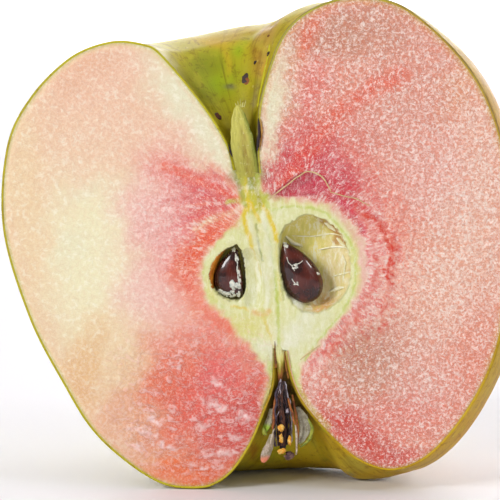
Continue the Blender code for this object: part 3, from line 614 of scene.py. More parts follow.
def length(name, description, millimetres):
    """A length that the user may change."""
    return FloatProperty(
        name=name, description=description, unit="LENGTH", precision=5, min=0.0, default=millimetres * MM
    )


def power(name, description, watts):
    """The power of a light that the user may change."""
    return FloatProperty(name=name, description=description, default=watts, unit="POWER")


class APPLE_HALF_PG_flesh(bpy.types.PropertyGroup):
    """Sizes and colours of the cut flesh and core."""

    point_spacing: length("Point spacing", "Distance between points of the cut face", 0.25)
    core_spacing: length("Core spacing", "Distance between points in the core", 0.17)
    clump_height: length("Clump height", "How far the wet clumps stand proud", 0.16)
    grain_scale: FloatProperty(name="Grain", description="Curls in a millimetre", default=1.6, min=0.1)
    base_left: tint("Left base", "Flesh of the left lobe", "EFCBA8")
    base_right: tint("Right base", "Flesh of the right lobe", "EEA698")
    cream: tint("Cream", "Pale warm flesh", "F0D6AC")
    ivory: tint("Ivory", "Palest flesh", "F1EBC4")
    celery: tint("Celery", "Pale green flesh", "E8E6C6")
    peach: tint("Peach", "Pink-orange flesh", "F2C4AC")
    apricot: tint("Apricot", "Orange flesh", "EBB494")
    amber: tint("Amber", "Deep orange flesh", "E6A85E")
    blush: tint("Blush", "Pink flesh", "F2ACAE")
    petal: tint("Petal", "Pale warm pink flesh", "F6CCBA")
    shell: tint("Shell pink", "Pale pink flesh", "F4C6C0")
    rose: tint("Rose", "Strong pink flesh", "E85862")
    magenta: tint("Magenta", "Purple-pink flesh", "D23A5C")
    crimson: tint("Crimson", "Red flesh", "D62C38")
    coral: tint("Coral", "Orange-red flesh", "EC6444")
    vermilion: tint("Vermilion", "Orange flesh at the foot", "F0662A")
    brick: tint("Brick", "Ridge round the core", "D63818")
    grey_pink: tint("Grey pink", "Bruised pink flesh", "E4A89C")
    russet_pink: tint("Russet pink", "Browned pink flesh", "D49C8A")
    umber_pink: tint("Umber pink", "Browned flesh", "C48A72")
    core: tint("Core", "Green-white core", "DCDEA2")
    core_white: tint("Core white", "Palest core", "E4E6C8")
    column: tint("Column", "Middle of the core", "D8D8A0")
    straw: tint("Straw", "Yellow core", "DCD680")
    stem_tissue: tint("Stem tissue", "Green fibres under the stem", "C4BE3C")
    membrane: tint("Membrane", "Lining of the seed cells", "E6DA78")
    cell_cream: tint("Cell cream", "Pale side of the right cell", "E8D69E")
    tan_rim: tint("Tan rim", "Browned rim of the right cell", "B8803A")
    lime: tint("Lime", "Green lines of the core", "BACA4C")
    moss: tint("Moss", "Dark green lines", "7E8C34")
    olive: tint("Olive", "Dull yellow fibres", "A49A1E")
    gold: tint("Gold", "Yellow strands", "DEC41C")
    rust: tint("Rust", "Brown slits", "9A5A14")
    glint: tint("Glint", "Wet glints", "FFDEDC")


class APPLE_HALF_PG_skin(bpy.types.PropertyGroup):
    """Sizes and colours of the skin."""

    thickness: length("Thickness", "Thickness of the skin at the cut", 0.3)
    base: tint("Base", "Yellow-green skin", "B2A416")
    edge: tint("Edge", "Skin in the cut", "C8C22A")
    leaf: tint("Leaf", "Green skin", "98A40E")
    fresh: tint("Fresh", "Bright green skin", "94AC06")
    gold: tint("Gold", "Yellow skin", "CCA61E")
    amber: tint("Amber", "Orange skin", "CC9E26")
    ochre: tint("Ochre", "Sunny side", "D08E0C")
    tan: tint("Tan", "Russeted skin", "BE9A44")
    olive: tint("Olive", "Dull green skin", "96880C")
    deep_olive: tint("Deep olive", "Shaded green skin", "5A5C04")
    rust: tint("Rust", "Brown skin", "9A5608")
    throat: tint("Throat", "Wall of the calyx pit", "40200E")
    grey: tint("Grey", "Grey marks", "6A6254")
    grey_green: tint("Grey-green", "Dull sheen", "AE9E40")


class APPLE_HALF_PG_small(bpy.types.PropertyGroup):
    """Sizes of the seeds, threads and hairs."""

    thread_sides: IntProperty(name="Thread sides", description="Sides of each thread", default=8, min=3)
    hair_length: length("Hair length", "Length of the hairs on the sepals", 0.42)
    hair_density: FloatProperty(name="Hair density", description="Hairs on a square millimetre", default=26.0)
    seed_colour: tint("Seed", "Ripe seed coat", "2C0E0C")


class APPLE_HALF_PG_stage(bpy.types.PropertyGroup):
    """Light and floor."""

    key_power: power("Key power", "Main light", 7.6)
    fill_power: power("Fill power", "Light from the front", 1.0)
    top_power: power("Top power", "Light from above", 2.9)
    edge_power: power("Edge power", "Light behind the right side", 1.4)
    strip_power: power("Strip power", "Light at the right", 2.6)
    backdrop_power: power("Backdrop power", "Light on the wall", 60.0)
    sky: FloatProperty(name="Sky", description="Strength of the light from all round", default=0.29)
    floor_colour: tint("Floor", "Pale floor", "EFEEF3")


def smooth_row(rows, place):
    """The row at a place along the smooth curve that runs through all the rows."""
    last = len(rows) - 1
    start = min(max(int(place), 0), last - 1)
    u = place - start
    around = (rows[max(start - 1, 0)], rows[start], rows[start + 1], rows[min(start + 2, last)])
    blended = []
    for before, here, after, beyond in zip(*around):
        slope = after - before
        bend = 2 * before - 5 * here + 4 * after - beyond
        twist = 3 * here - before - 3 * after + beyond
        blended.append(here + 0.5 * (slope * u + bend * u**2 + twist * u**3))
    return blended


def smooth_line(rows, steps):
    """The rows of a smooth curve, at even steps along its places."""
    return [smooth_row(rows, index / steps * (len(rows) - 1)) for index in range(steps + 1)]


def smooth_loop(points, fraction):
    """The point at a fraction of the way round the smooth closed curve through the points."""
    count = len(points)
    rows = [points[(i - 1) % count] for i in range(count + 3)]
    return smooth_row(rows, 1 + (fraction % 1.0) * count)


def lobe_row(table, degrees):
    """The row of a table of lobes at any angle round the axis."""
    last = len(table) - 1
    start = max(index for index in range(last) if table[index][0] <= degrees)
    low, high = table[start][0], table[start + 1][0]
    return smooth_row(table, start + (degrees - low) / (high - low))


def near_station(station, middle, before, after):
    """1 at the middle station, easing to 0 this many stations before and after it."""
    away = min(abs(station - middle) / (before if station < middle else after), 1.0)
    return (1 - away * away) ** 2


def skin_point(azimuth, station):
    """A point of the skin, at an angle round the axis and a station down the cut's line."""
    right_x, right_z, left_x, left_z = smooth_row(STATIONS, station)
    degrees = abs(math.degrees(azimuth))
    foot = near_station(station, FOOT_STATION, FOOT_REACH_UP, FOOT_REACH_IN)
    shoulder = near_station(station, SHOULDER_STATION, SHOULDER_REACH_IN, SHOULDER_REACH_DOWN)
    lowness = min(max((station - SHOULDER_STATION) / (FOOT_STATION - SHOULDER_STATION), 0.0), 1.0)
    right_swell = RIGHT_SWELL_SHOULDER + (RIGHT_SWELL_FOOT - RIGHT_SWELL_SHOULDER) * lowness**2
    swell = 1 + DEPTH_SWELL * abs(math.sin(azimuth))
    swell += right_swell * math.sin(2 * abs(azimuth)) * math.cos(azimuth / 2) ** 2
    lobe, shoulder_drop = lobe_row(FOOT_LOBES, degrees), lobe_row(SHOULDER_LOBES, degrees)[1]
    swell *= 1 + (lobe[2] - 1) * foot
    half_width = (right_x - left_x) / 2
    x = (right_x + left_x) / 2 + half_width * math.cos(azimuth) * swell
    y = half_width * math.sin(azimuth) * swell
    rightness = (1 + math.cos(azimuth)) / 2
    z = left_z + (right_z - left_z) * rightness
    z -= lobe[1] * foot + shoulder_drop * shoulder
    return (x, y, z)


def ripple(points, size, seed=0.0):
    """Smooth noise from -1 to 1 at points given in millimetres, with features of this size."""
    return np.array([noise.noise(Vector(p) / size + Vector((seed, seed * 1.7, -seed))) for p in points])


def eased(values, low, high):
    """0 below low and 1 above high, with a smooth step between."""
    share = np.clip((values - low) / (high - low), 0.0, 1.0)
    return share * share * (3 - 2 * share)


def chain_distance(places, chain):
    """How far each place is from a chain of straight pieces."""
    nearest = np.full(len(places), np.inf)
    for a, b in zip(chain[:-1], chain[1:]):
        along = b - a
        share = np.clip((places - a) @ along / (along @ along + 1e-12), 0.0, 1.0)
        nearest = np.minimum(nearest, np.linalg.norm(places - (a + share[:, None] * along), axis=1))
    return nearest


def line_distance(places, points):
    """How far each place is from the smooth line through the points."""
    return chain_distance(places, np.array(smooth_line(points, 6 * (len(points) - 1))))


def inside_loop(places, loop):
    """Whether each place is inside a closed outline."""
    inside = np.zeros(len(places), bool)
    x, z = places[:, 0], places[:, 1]
    for (ax, az), (bx, bz) in zip(loop, np.roll(loop, -1, axis=0)):
        crosses = (az > z) != (bz > z)
        with np.errstate(divide="ignore", invalid="ignore"):
            inside ^= crosses & (x < (bx - ax) * (z - az) / (bz - az) + ax)
    return inside


def loop_depth(places, outline):
    """How deep each place lies inside a closed outline, negative outside it."""
    loop = np.array([smooth_loop(outline, index / 160) for index in range(160)])
    edge = chain_distance(places, np.vstack((loop, loop[:1])))
    return np.where(inside_loop(places, loop), edge, -edge)


def hollow_spread(places, name):
    """0 at the middle of a hollow and 1 at its rim, for each place in the cut face."""
    outline, _, torn = HOLLOWS[name]
    middle = np.mean(outline, axis=0)
    rim = np.array([smooth_loop(outline, index / 720) for index in range(720)]) - middle
    turn = np.arctan2(rim[:, 1], rim[:, 0])
    reach = np.linalg.norm(rim, axis=1)
    tears = ripple([(math.cos(t) * 9, math.sin(t) * 9, 0.0) for t in turn], 0.8)
    reach = reach * (1 + torn * tears)
    order = np.argsort(turn)
    away = places - middle
    rim_reach = np.interp(np.arctan2(away[:, 1], away[:, 0]), turn[order], reach[order], period=2 * math.pi)
    return np.linalg.norm(away, axis=1) / rim_reach


def hollow_depth(places):
    """How far the opened hollows go behind the cut face at each place."""
    depth = np.zeros(len(places))
    for name, (_, deepest, _) in HOLLOWS.items():
        steep = 1 - np.clip(hollow_spread(places, name), 0.0, 1.0) ** 4
        depth = np.maximum(depth, deepest * steep ** (0.25 if "cell" in name else 1.3))
    for x, z, wide, tall, share in CELL_SHOALS:
        away = np.hypot((places[:, 0] - x) / wide, (places[:, 1] - z) / tall)
        depth = depth * (1 - share * np.exp(-(away**2)))
    return depth


def above_floor(points, clearance=0.0):
    """Points of the apple's frame, with any that would sink below the floor lifted softly above it."""
    points = np.array(points, float)
    height = points @ np.array(UP) + CORE_MIDDLE.z / MM - clearance
    sink = FOOT_SINK * np.exp(-np.maximum(height, 0.0) / 2)
    rounded = np.maximum((height + np.sqrt(height**2 + 4 * FOOT_ROUND**2)) / 2 - sink, 0.0)
    return points + (rounded - height)[..., None] * np.array(UP)


def skin_places():
    """Stations of the skin's rows, closest together in the stem's bowl and the calyx pit."""
    places = [0.0]
    last = len(STATIONS) - 1
    while places[-1] < last:
        here = places[-1]
        step = next(step for until, step in ROW_STEPS if here < until)
        a, b = skin_point(math.pi, here), skin_point(math.pi, min(here + 0.05, last))
        places.append(here + step * 0.05 / max(math.dist(a, b), 1e-3))
    places[-1] = float(last)
    return places


def skin_surface(columns, places):
    """The skin's outer points, row by row down the apple, and its outward directions."""
    turns = [
        math.pi * (share - math.sin(2 * math.pi * share) / (2 * math.pi) * CUT_CROWDING)
        for share in np.linspace(0.0, 1.0, columns)
    ]
    outer = np.array([[skin_point(turn, place) for turn in turns] for place in places])
    down = np.gradient(outer, axis=0)
    around = np.gradient(outer, axis=1)
    outward = np.cross(down, around)
    outward[:, 0, 1] = outward[:, -1, 1] = 0.0
    outward /= np.linalg.norm(outward, axis=2, keepdims=True) + 1e-12
    return outer, outward


def build_mesh(name, places, faces, material, colours=None, material_indices=None):
    """A smooth-shaded object from places in the apple's frame, with its colours as point attributes."""
    mesh = bpy.data.meshes.new(name)
    row_places = [TO_ROW @ Vector(place) for place in places]
    mesh.from_pydata(row_places, [], faces)
    for one in material if isinstance(material, (list, tuple)) else [material]:
        mesh.materials.append(one)
    if material_indices is not None:
        mesh.polygons.foreach_set("material_index", material_indices)
    for attribute, values in (colours or {}).items():
        layer = mesh.color_attributes.new(attribute, "FLOAT_COLOR", "POINT")
        full = np.ones((len(places), 4), np.float32)
        full[:, : values.shape[1]] = values
        layer.data.foreach_set("color", full.ravel())
    mesh.update()
    mesh.shade_smooth()
    piece = bpy.data.objects.new(name, mesh)
    bpy.context.scene.collection.objects.link(piece)
    return piece


def settle(piece, slot, *nodes):
    """Hang a finished piece on the apple and let it stand for its solids; the slot is not used."""
    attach(piece, BODY)
    if nodes:
        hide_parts(*nodes)
    return piece


class Value:
    """A shader socket that Python's operators work on, each adding its Math node."""

    def __init__(self, paint, socket):
        self.paint = paint
        self.socket = socket

    def maths(self, operation, *operands):
        return self.paint.node("ShaderNodeMath", {"operation": operation}, dict(enumerate(operands)))

    def __add__(self, other):
        return self.maths("ADD", self, other)

    def __sub__(self, other):
        return self.maths("SUBTRACT", self, other)

    def __rsub__(self, other):
        return self.maths("SUBTRACT", other, self)

    def __mul__(self, other):
        return self.maths("MULTIPLY", self, other)

    __radd__ = __add__
    __rmul__ = __mul__

    def ridge(self, width):
        """1 along the lines where the value passes a half, falling to 0 this far from it."""
        away = self - 0.5
        return 1.0 - away.maths("ABSOLUTE", away).step(0.0, width)

    def step(self, low, high):
        """0 below low and 1 above high, with a smooth step between."""
        return self.paint.node(
            "ShaderNodeMapRange",
            {"interpolation_type": "SMOOTHSTEP"},
            {"Value": self, "From Min": low, "From Max": high},
        )


class Paint:
    """One material's nodes, written as expressions on its sockets."""

    def __init__(self, name):
        self.material = bpy.data.materials.new(name)
        self.material.use_nodes = True
        self.tree = self.material.node_tree
        self.shader = self.tree.nodes["Principled BSDF"]

    def plug(self, socket, value):
        """Link a socket to an expression, or set it to a constant."""
        if isinstance(value, Value):
            self.tree.links.new(value.socket, socket)
        elif socket.type == "RGBA":
            socket.default_value = (*value[:3], 1.0)
        else:
            socket.default_value = value

    def node(self, kind, settings=None, inputs=None, output=0):
        """Any node, from its type, its settings and the values of its sockets."""
        made = self.tree.nodes.new(kind)
        for name, setting in (settings or {}).items():
            setattr(made, name, setting)
        for name, value in (inputs or {}).items():
            self.plug(made.inputs[name], value)
        return Value(self, made.outputs[output])

    def finish(self, **sockets):
        """Set the shader's sockets, named with underscores for spaces."""
        for name, value in sockets.items():
            self.plug(self.shader.inputs[name.replace("_", " ")], value)
        return self.material

    def place(self):
        """Where the surface is, in metres of the row frame."""
        return self.node("ShaderNodeTexCoord", output="Object")

    def scaled(self, place, scale):
        """The place with each axis multiplied, which stretches a pattern along the axes below 1."""
        return self.node("ShaderNodeMapping", {}, {"Vector": place, "Scale": scale})

    def attribute(self, name, output="Color"):
        """A colour or number painted on the mesh."""
        return self.node("ShaderNodeAttribute", {"attribute_name": name}, output=output)

    def channel(self, colour, which):
        """One channel of a colour."""
        return self.node("ShaderNodeSeparateColor", {}, {"Color": colour}, output=which)

    def mix(self, factor, first, second, blend="MIX"):
        """Two colours blended by a factor."""
        return self.node(
            "ShaderNodeMix",
            {"data_type": "RGBA", "blend_type": blend},
            {0: factor, 6: first, 7: second},
            output=2,
        )

    def noise(self, place, per_mm, detail=2.0, roughness=0.5, distortion=0.0):
        """Smooth noise with this many features in a millimetre."""
        return self.node(
            "ShaderNodeTexNoise",
            {},
            {"Vector": place, "Scale": per_mm / MM, "Detail": detail, "Roughness": roughness,
             "Distortion": distortion},
        )

    def cells(self, place, per_mm):
        """Distance from the middles of rounded cells, with this many in a millimetre."""
        return self.node("ShaderNodeTexVoronoi", {}, {"Vector": place, "Scale": per_mm / MM})

    def bump(self, height, depth_mm, strength=1.0):
        """A normal from a height of 0 to 1 that stands for this depth."""
        return self.node(
            "ShaderNodeBump", {}, {"Strength": strength, "Distance": depth_mm * MM, "Height": height}
        )

    def warped(self, place, per_mm, reach_mm):
        """The place, shifted about by noise."""
        noisy = {"Vector": place, "Scale": per_mm / MM, "Detail": 2.0}
        shift = self.node("ShaderNodeTexNoise", {}, noisy, output=1)
        centred = self.node("ShaderNodeVectorMath", {"operation": "SUBTRACT"}, {0: shift, 1: (0.5, 0.5, 0.5)})
        reach = {0: centred, "Scale": 2 * reach_mm * MM}
        moved = self.node("ShaderNodeVectorMath", {"operation": "SCALE"}, reach)
        return self.node("ShaderNodeVectorMath", {"operation": "ADD"}, {0: place, 1: moved})


def flesh_material(settings):
    """Juicy cut flesh: painted colour broken up by curling pale fibres, cells and wet clumps, with painted
    highlights on the pale tops of the curls, worms, beads and clumps, painted sparkle dots, and painted shade
    in the worms' hollows and the beads' dimples.
    """
    paint = Paint("flesh_cut")
    place = paint.place()
    colour = paint.attribute("tint")
    nature = paint.attribute("nature")
    grain, wet, smooth = (paint.channel(nature, which) for which in range(3))
    fan = paint.attribute("fan", "Vector")
    loose = paint.warped(place, 0.8, 0.4)
    from_core = paint.scaled(fan, (1.0, 0.42, 1.0))
    flattened = paint.scaled(loose, (0.6, 1.0, 1.15))
    stretched = paint.scaled(loose, (1.0, 1.0, 0.3))
    curls = paint.noise(loose, settings.grain_scale, 2.0, 0.6, 0.9).ridge(0.05)
    near_core = paint.node("ShaderNodeSeparateXYZ", {}, {"Vector": fan}, output=1).step(20.0, 11.0)
    worms = paint.noise(from_core, 2.0 * MM, 3.0, 0.68, 0.7) * near_core
    worms = worms + paint.noise(loose, 2.6, 3.0, 0.68) * (1.0 - near_core)
    sparks = paint.noise(place, 4.4, 2.0, 0.7)
    coarse = paint.noise(loose, 0.5, 3.0, 0.6)
    beads = paint.noise(loose, 1.5, 2.0, 0.5)
    clumps = paint.noise(flattened, 1.15, 4.0, 0.66, 0.9)
    strings = paint.noise(stretched, 1.8, 4.0, 0.66)
    lively = grain * (1.0 - smooth) * (1.0 - wet * 0.45)
    shade = paint.mix(near_core, (0.86, 0.60, 0.52), (0.92, 0.36, 0.42))
    deeper = paint.mix(1.0, colour, shade, "MULTIPLY")
    pale = paint.mix(0.7, colour, linear("FFF4EE"))
    # Darker in the worms' hollows: deeper flesh colour, partly painted shade.
    worm_hollows_deep_and_shaded = paint.mix(worms.step(0.52, 0.44) * lively * 0.95, colour, deeper)
    # Pale along the worms: partly pale tissue, partly painted highlights.
    worms_pale_and_highlit = paint.mix(worms.step(0.54, 0.61) * lively * 0.85, worm_hollows_deep_and_shaded, pale)
    blotched = paint.mix(coarse.step(0.56, 0.36) * lively * 0.2, worms_pale_and_highlit, deeper)
    # Pale along the curls: partly pale fibres, partly painted highlights.
    curls_pale_and_highlit = paint.mix(curls * (0.12 + lively * 0.3), blotched, pale)
    # White dots: painted sparkle highlights.
    sparkling = paint.mix(sparks.step(0.60, 0.72) * lively * 0.85, curls_pale_and_highlit, linear("FFF4F0"))
    calm = (1.0 - lively) * (1.0 - smooth) * (1.0 - wet)
    tan = paint.mix(0.7, colour, linear("DDB088"))
    # Tan in the beads' dimples and near white on their tops: painted shade and painted highlights.
    dimples_shaded = paint.mix(beads.step(0.50, 0.30) * calm * 0.18, sparkling, tan)
    beads_pale_and_highlit = paint.mix(beads.step(0.52, 0.70) * calm * 0.42, dimples_shaded, linear("FFFCEC"))
    # Pale tops of the wet clumps: partly pale tissue, partly painted highlights.
    clumps_pale_and_highlit = paint.mix(clumps.step(0.52, 0.64) * wet * 0.62, beads_pale_and_highlit, linear("FACECB"))
    white = paint.mix(strings.step(0.50, 0.64) * smooth * 0.6, clumps_pale_and_highlit, linear("F6F6E4"))
    green = paint.mix(0.6, colour, linear("C4C23E"))
    strung = paint.mix(strings.step(0.48, 0.38) * smooth * 0.5, white, green)
    height = curls * (0.3 + lively * 0.4) + worms * lively * 1.2 + clumps.step(0.46, 0.66) * wet * 1.6
    height = height + beads * 0.9 + strings * smooth * 0.8
    return paint.finish(
        Base_Color=strung,
        Roughness=0.46 - wet * 0.22 - lively * 0.08,
        Normal=paint.bump(height, 0.06, 0.9),
        Specular_IOR_Level=0.5,
    )


def skin_material():
    """Waxy apple skin: painted colour with fine meridian streaks, mottling and pale pores."""
    paint = Paint("apple_skin")
    place = paint.place()
    colour = paint.attribute("tint")
    streak = paint.noise(paint.attribute("meridian", "Vector"), 1.0 * MM, 4.0, 0.68)
    mottle = paint.noise(place, 0.4, 4.0, 0.65)
    stains = paint.noise(paint.warped(place, 0.5, 0.8), 1.1, 4.0, 0.7)
    fine = paint.noise(place, 3.0, 3.0, 0.6)
    pores = 1.0 - paint.cells(place, 0.42).step(0.05, 0.11)
    darker = paint.mix(1.0, colour, linear("A4823C"), "MULTIPLY")
    green = paint.mix(0.5, colour, linear("6E8A06"))
    light = paint.mix(0.45, colour, linear("D6C23A"))
    streaked = paint.mix(streak.step(0.50, 0.70) * 0.6, colour, darker)
    lit = paint.mix(mottle.step(0.50, 0.66) * 0.5, streaked, light)
    greened = paint.mix(stains.step(0.54, 0.68) * 0.35, lit, green)
    stained = paint.mix(stains.step(0.46, 0.36) * 0.4, greened, darker)
    height = fine * 0.4 + streak * 0.3 + pores * 0.5
    return paint.finish(
        Base_Color=paint.mix(pores * 0.35, stained, linear("D8C870")),
        Roughness=0.42 + mottle * 0.16,
        Normal=paint.bump(height, 0.06, 0.6),
        Specular_IOR_Level=0.28,
    )


def mottled_material(name, main, other, roughness, per_mm=1.5, depth_mm=0.05, **sockets):
    """A dry or waxy finish of two colours, mixed by noise, with a rough surface."""
    paint = Paint(name)
    place = paint.place()
    patches = paint.noise(place, per_mm, 4.0, 0.62)
    fine = paint.noise(place, per_mm * 5, 3.0, 0.6)
    mixed = paint.mix(patches.step(0.38, 0.66), linear(main), linear(other))
    return paint.finish(
        Base_Color=mixed,
        Roughness=roughness + (fine - 0.5) * 0.15,
        Normal=paint.bump(patches * 0.5 + fine * 0.5, depth_mm),
        **sockets,
    )


def seed_material(settings):
    """Polished seed coat: near black where thick, red-brown where light comes through, with fine lines."""
    paint = Paint("seed_coat")
    place = paint.place()
    dark = tuple(settings.seed_colour)
    cloud = paint.noise(place, 0.4, 3.0, 0.5)
    lines = paint.noise(paint.scaled(place, (1.0, 1.0, 0.12)), 5.0, 3.0, 0.6)
    red = paint.mix(cloud.step(0.42, 0.62), dark, linear("561C10"))
    lined = paint.mix(lines.step(0.52, 0.72) * 0.3, red, linear("6E3A34"))
    return paint.finish(
        Base_Color=lined,
        Roughness=0.2 + lines * 0.12,
        Normal=paint.bump(lines, 0.03, 0.4),
        Specular_IOR_Level=0.25,
        Coat_Weight=0.7,
        Coat_Roughness=0.04,
    )


def sepal_material(name, main, tip_colour, tip_z, tip_soft):
    """A woolly dry sepal, whose end below a height is another colour."""
    paint = Paint(name)
    place = paint.place()
    height = paint.node("ShaderNodeSeparateXYZ", {}, {"Vector": place}, output=2)
    fur = paint.noise(place, 4.0, 4.0, 0.7)
    cloud = paint.noise(place, 0.9, 3.0, 0.6)
    wool = paint.mix(cloud.step(0.4, 0.65), linear(main), linear("8E8468"))
    speckled = paint.mix(fur.step(0.5, 0.7) * 0.6, wool, linear("E2DED6"))
    low = 1.0 - (height + (cloud - 0.5) * 0.0012).step(tip_z - tip_soft, tip_z + tip_soft)
    return paint.finish(
        Base_Color=paint.mix(low, speckled, linear(tip_colour)),
        Roughness=0.75,
        Normal=paint.bump(fur, 0.08),
    )


def paint_patch(colours, away, colour, strength):
    """Blend a soft patch into colours, where away is 1 at its edge."""
    share = np.minimum(strength * np.exp(-0.7 * away**3), 1.0)[:, None]
    return colours * (1 - share) + np.array(colour) * share


def paint_patches(colours, places, table, settings, mask=1.0):
    """Blend each soft patch of a table into colours, where the mask allows."""
    for _, x, z, long, short, degrees, colour, strength in table:
        turn = math.radians(degrees)
        dx, dz = places[:, 0] - x, places[:, 1] - z
        along = (dx * math.cos(turn) + dz * math.sin(turn)) / long
        across = (dz * math.cos(turn) - dx * math.sin(turn)) / short
        colours = paint_patch(colours, np.hypot(along, across), getattr(settings, colour), strength * mask)
    return colours


def lobe_colours(places, soft, from_skin, fine_drift, settings):
    """Colour of the flesh outside the core, with the paler rim along the skin."""
    side = eased(places[:, 0], -LOBE_BLEND, LOBE_BLEND)[:, None]
    colours = np.array(settings.base_left) * (1 - side) + np.array(settings.base_right) * side
    colours = paint_patches(colours, soft, FLESH_PATCHES, settings)
    left, right = places[:, 0] < -2.0, places[:, 0] > 2.0
    rim = (1 - eased(from_skin + fine_drift[:, 0] * 0.25, 0.1, 1.1)) * eased(places[:, 1], -26.0, -19.0)
    colours = paint_patch(colours, np.where(left, 1.6 - rim * 1.6, 9.0), settings.cream, 0.5)
    colours = paint_patch(colours, np.where(right, 1.4 - rim * 1.4, 9.0), settings.amber, 0.4)
    pale = 1 - eased(from_skin, 0.0, MARGIN_PALE)
    return paint_patch(colours, 1.5 - pale * 1.5, settings.lime, 0.35)


def fan_fibres(places, fine_drift):
    """How strongly the fibres that fan out from the foot of the stem show at each place."""
    fibres = np.zeros(len(places))
    draw = random.Random(4)
    for index in range(FIBRES):
        bearing = math.radians(128 + 84 * index / FIBRES + draw.uniform(-3, 3))
        reach = draw.uniform(7, 12.5)
        end = (FIBRE_ROOT[0] + reach * math.cos(bearing), FIBRE_ROOT[1] + reach * math.sin(bearing))
        middle = (
            (FIBRE_ROOT[0] + end[0]) / 2 + draw.uniform(-0.4, 0.4),
            (FIBRE_ROOT[1] + end[1]) / 2 + draw.uniform(0.0, 0.8),
        )
        away = line_distance(places + fine_drift * 0.12, (FIBRE_ROOT, middle, end))
        reached = np.hypot(places[:, 0] - FIBRE_ROOT[0], places[:, 1] - FIBRE_ROOT[1])
        faded = 1 - eased(reached, reach * 0.5, reach)
        fibres = np.maximum(fibres, np.exp(-(away / FIBRE_WIDTH) ** 2) * faded)
    return fibres


def paint_strokes(colours, places, wide, fine_drift, settings):
    """The colours with lines, ridges and wet glints, how deep these are, and how ridged each place is."""
    broken = 0.75 + 0.5 * ripple(wide, 1.3, 14.0)
    specks = ripple(wide, 0.5, 21.0)
    relief, ridged = np.zeros(len(places)), np.zeros(len(places))
    for _, points, half_width, colour, strength, depth in FLESH_STROKES:
        torn = 0.9 if colour == "brick" else 0.2
        away = line_distance(places + fine_drift * torn, points) / half_width
        lit = np.clip(broken + torn * specks, 0.4, 1.0)
        colours = paint_patch(colours, away, getattr(settings, colour), strength * lit)
        relief += depth * np.exp(-(away**2))
        if colour == "brick":
            ridged = np.maximum(ridged, np.exp(-(away**2)))
    for points, half_width in WET_GLINTS:
        away = line_distance(places + fine_drift * 0.8, points) / (half_width * 0.85)
        colours = paint_patch(colours, away, settings.glint, np.clip(0.6 + 1.1 * specks, 0.0, 0.95))
        relief -= 0.12 * np.exp(-(away**2))
    return colours, relief, ridged


def paint_hollows(colours, places, wide, soft, settings):
    """The colours with those of the hollows, and the shares of seed cell, seed bed and torn scoop."""
    cell = np.zeros(len(places))
    for name in ("right_cell", "left_cell"):
        within = 1 - eased(hollow_spread(places, name), CELL_RIM, 1.0)
        lining = np.array(settings.membrane) * (0.9 + 0.25 * ripple(wide, 2.4, 2.0)[:, None])
        colours = colours * (1 - within[:, None]) + lining * within[:, None]
        cell = np.maximum(cell, within)
    colours = paint_patches(colours, soft, CELL_PATCHES, settings, cell)
    bed = 1 - eased(hollow_spread(places, "seed_bed"), 0.9, 1.0)
    colours = paint_patch(colours, (1 - bed) * 2.4, settings.core_white, 0.45 * (1 - cell))
    scoop = 1 - eased(hollow_spread(places, "torn_scoop"), 0.93, 1.02)
    colours = paint_patch(colours, (1 - scoop) * 2.4, np.array(settings.magenta) * 0.95, 0.75)
    return colours, cell, bed, scoop


def flesh_nature(colours, places, soft, in_core, cell, bed, scoop, ridged):
    """Grain, wetness and smoothness of the cut face at each place."""
    side = eased(places[:, 0], -LOBE_BLEND, LOBE_BLEND)
    juicy = np.hypot((soft[:, 0] + 11.6) / 11.5, (soft[:, 1] + 22.6) / 11.0)
    lower_left = (1 - side) * np.exp(-0.7 * juicy**4)
    grain = (0.30 + 0.70 * side) * (1 - 0.75 * in_core)
    rosy = np.hypot((soft[:, 0] + 9.5) / 8.0, (soft[:, 1] - 2.0) / 9.0)
    grain = np.maximum(grain, 0.75 * (1 - side) * np.exp(-0.7 * rosy**3))
    grain = np.maximum(grain, 0.8 * lower_left) * (1 - cell) * (1 - 0.8 * bed) * (1 - in_core)
    redness = 1 - colours[:, 1] / np.maximum(colours[:, 0], 1e-6)
    grain = np.maximum(grain, 0.85 * scoop) * (1 - 0.7 * ridged) * (0.3 + 0.7 * eased(redness, 0.08, 0.4))
    wet = np.maximum(lower_left, 0.5 * scoop)
    smooth = np.maximum(np.maximum(cell, bed), in_core * 0.55)
    return np.column_stack((grain, wet, smooth))


def flesh_colours(places, from_skin, settings):
    """Colour, nature and depth of strokes of the cut face at each place."""
    wide = [(x, 0.0, z) for x, z in places]
    drift = np.column_stack((ripple(wide, 3.2, 3.1), ripple(wide, 3.2, 8.4)))
    fine_drift = np.column_stack((ripple(wide, 0.8, 5.0), ripple(wide, 0.8, 11.0)))
    soft = places + drift * 1.5 + fine_drift * 0.6
    colours = lobe_colours(places, soft, from_skin, fine_drift, settings)
    core = eased(loop_depth(places + fine_drift * 0.45 + drift * 0.35, CORE_OUTLINE), -0.5, 0.6)
    colours = colours * (1 - core[:, None]) + np.array(settings.core) * core[:, None]
    colours = paint_patches(colours, soft, CORE_PATCHES, settings, core)
    tissue = eased(loop_depth(places + fine_drift * 0.35, STEM_TISSUE), -0.4, 0.5)
    colours = colours * (1 - tissue[:, None]) + np.array(settings.stem_tissue) * tissue[:, None]
    fibres = fan_fibres(places, fine_drift)
    colours = paint_patch(colours, (1 - fibres) * 2.2, settings.magenta, 0.4)
    colours, relief, ridged = paint_strokes(colours, places, wide, fine_drift, settings)
    colours, cell, bed, scoop = paint_hollows(colours, places, wide, soft, settings)
    nature = flesh_nature(colours, places, soft, np.maximum(core, tissue), cell, bed, scoop, ridged)
    return colours, nature, fibres * FIBRE_HEIGHT + relief


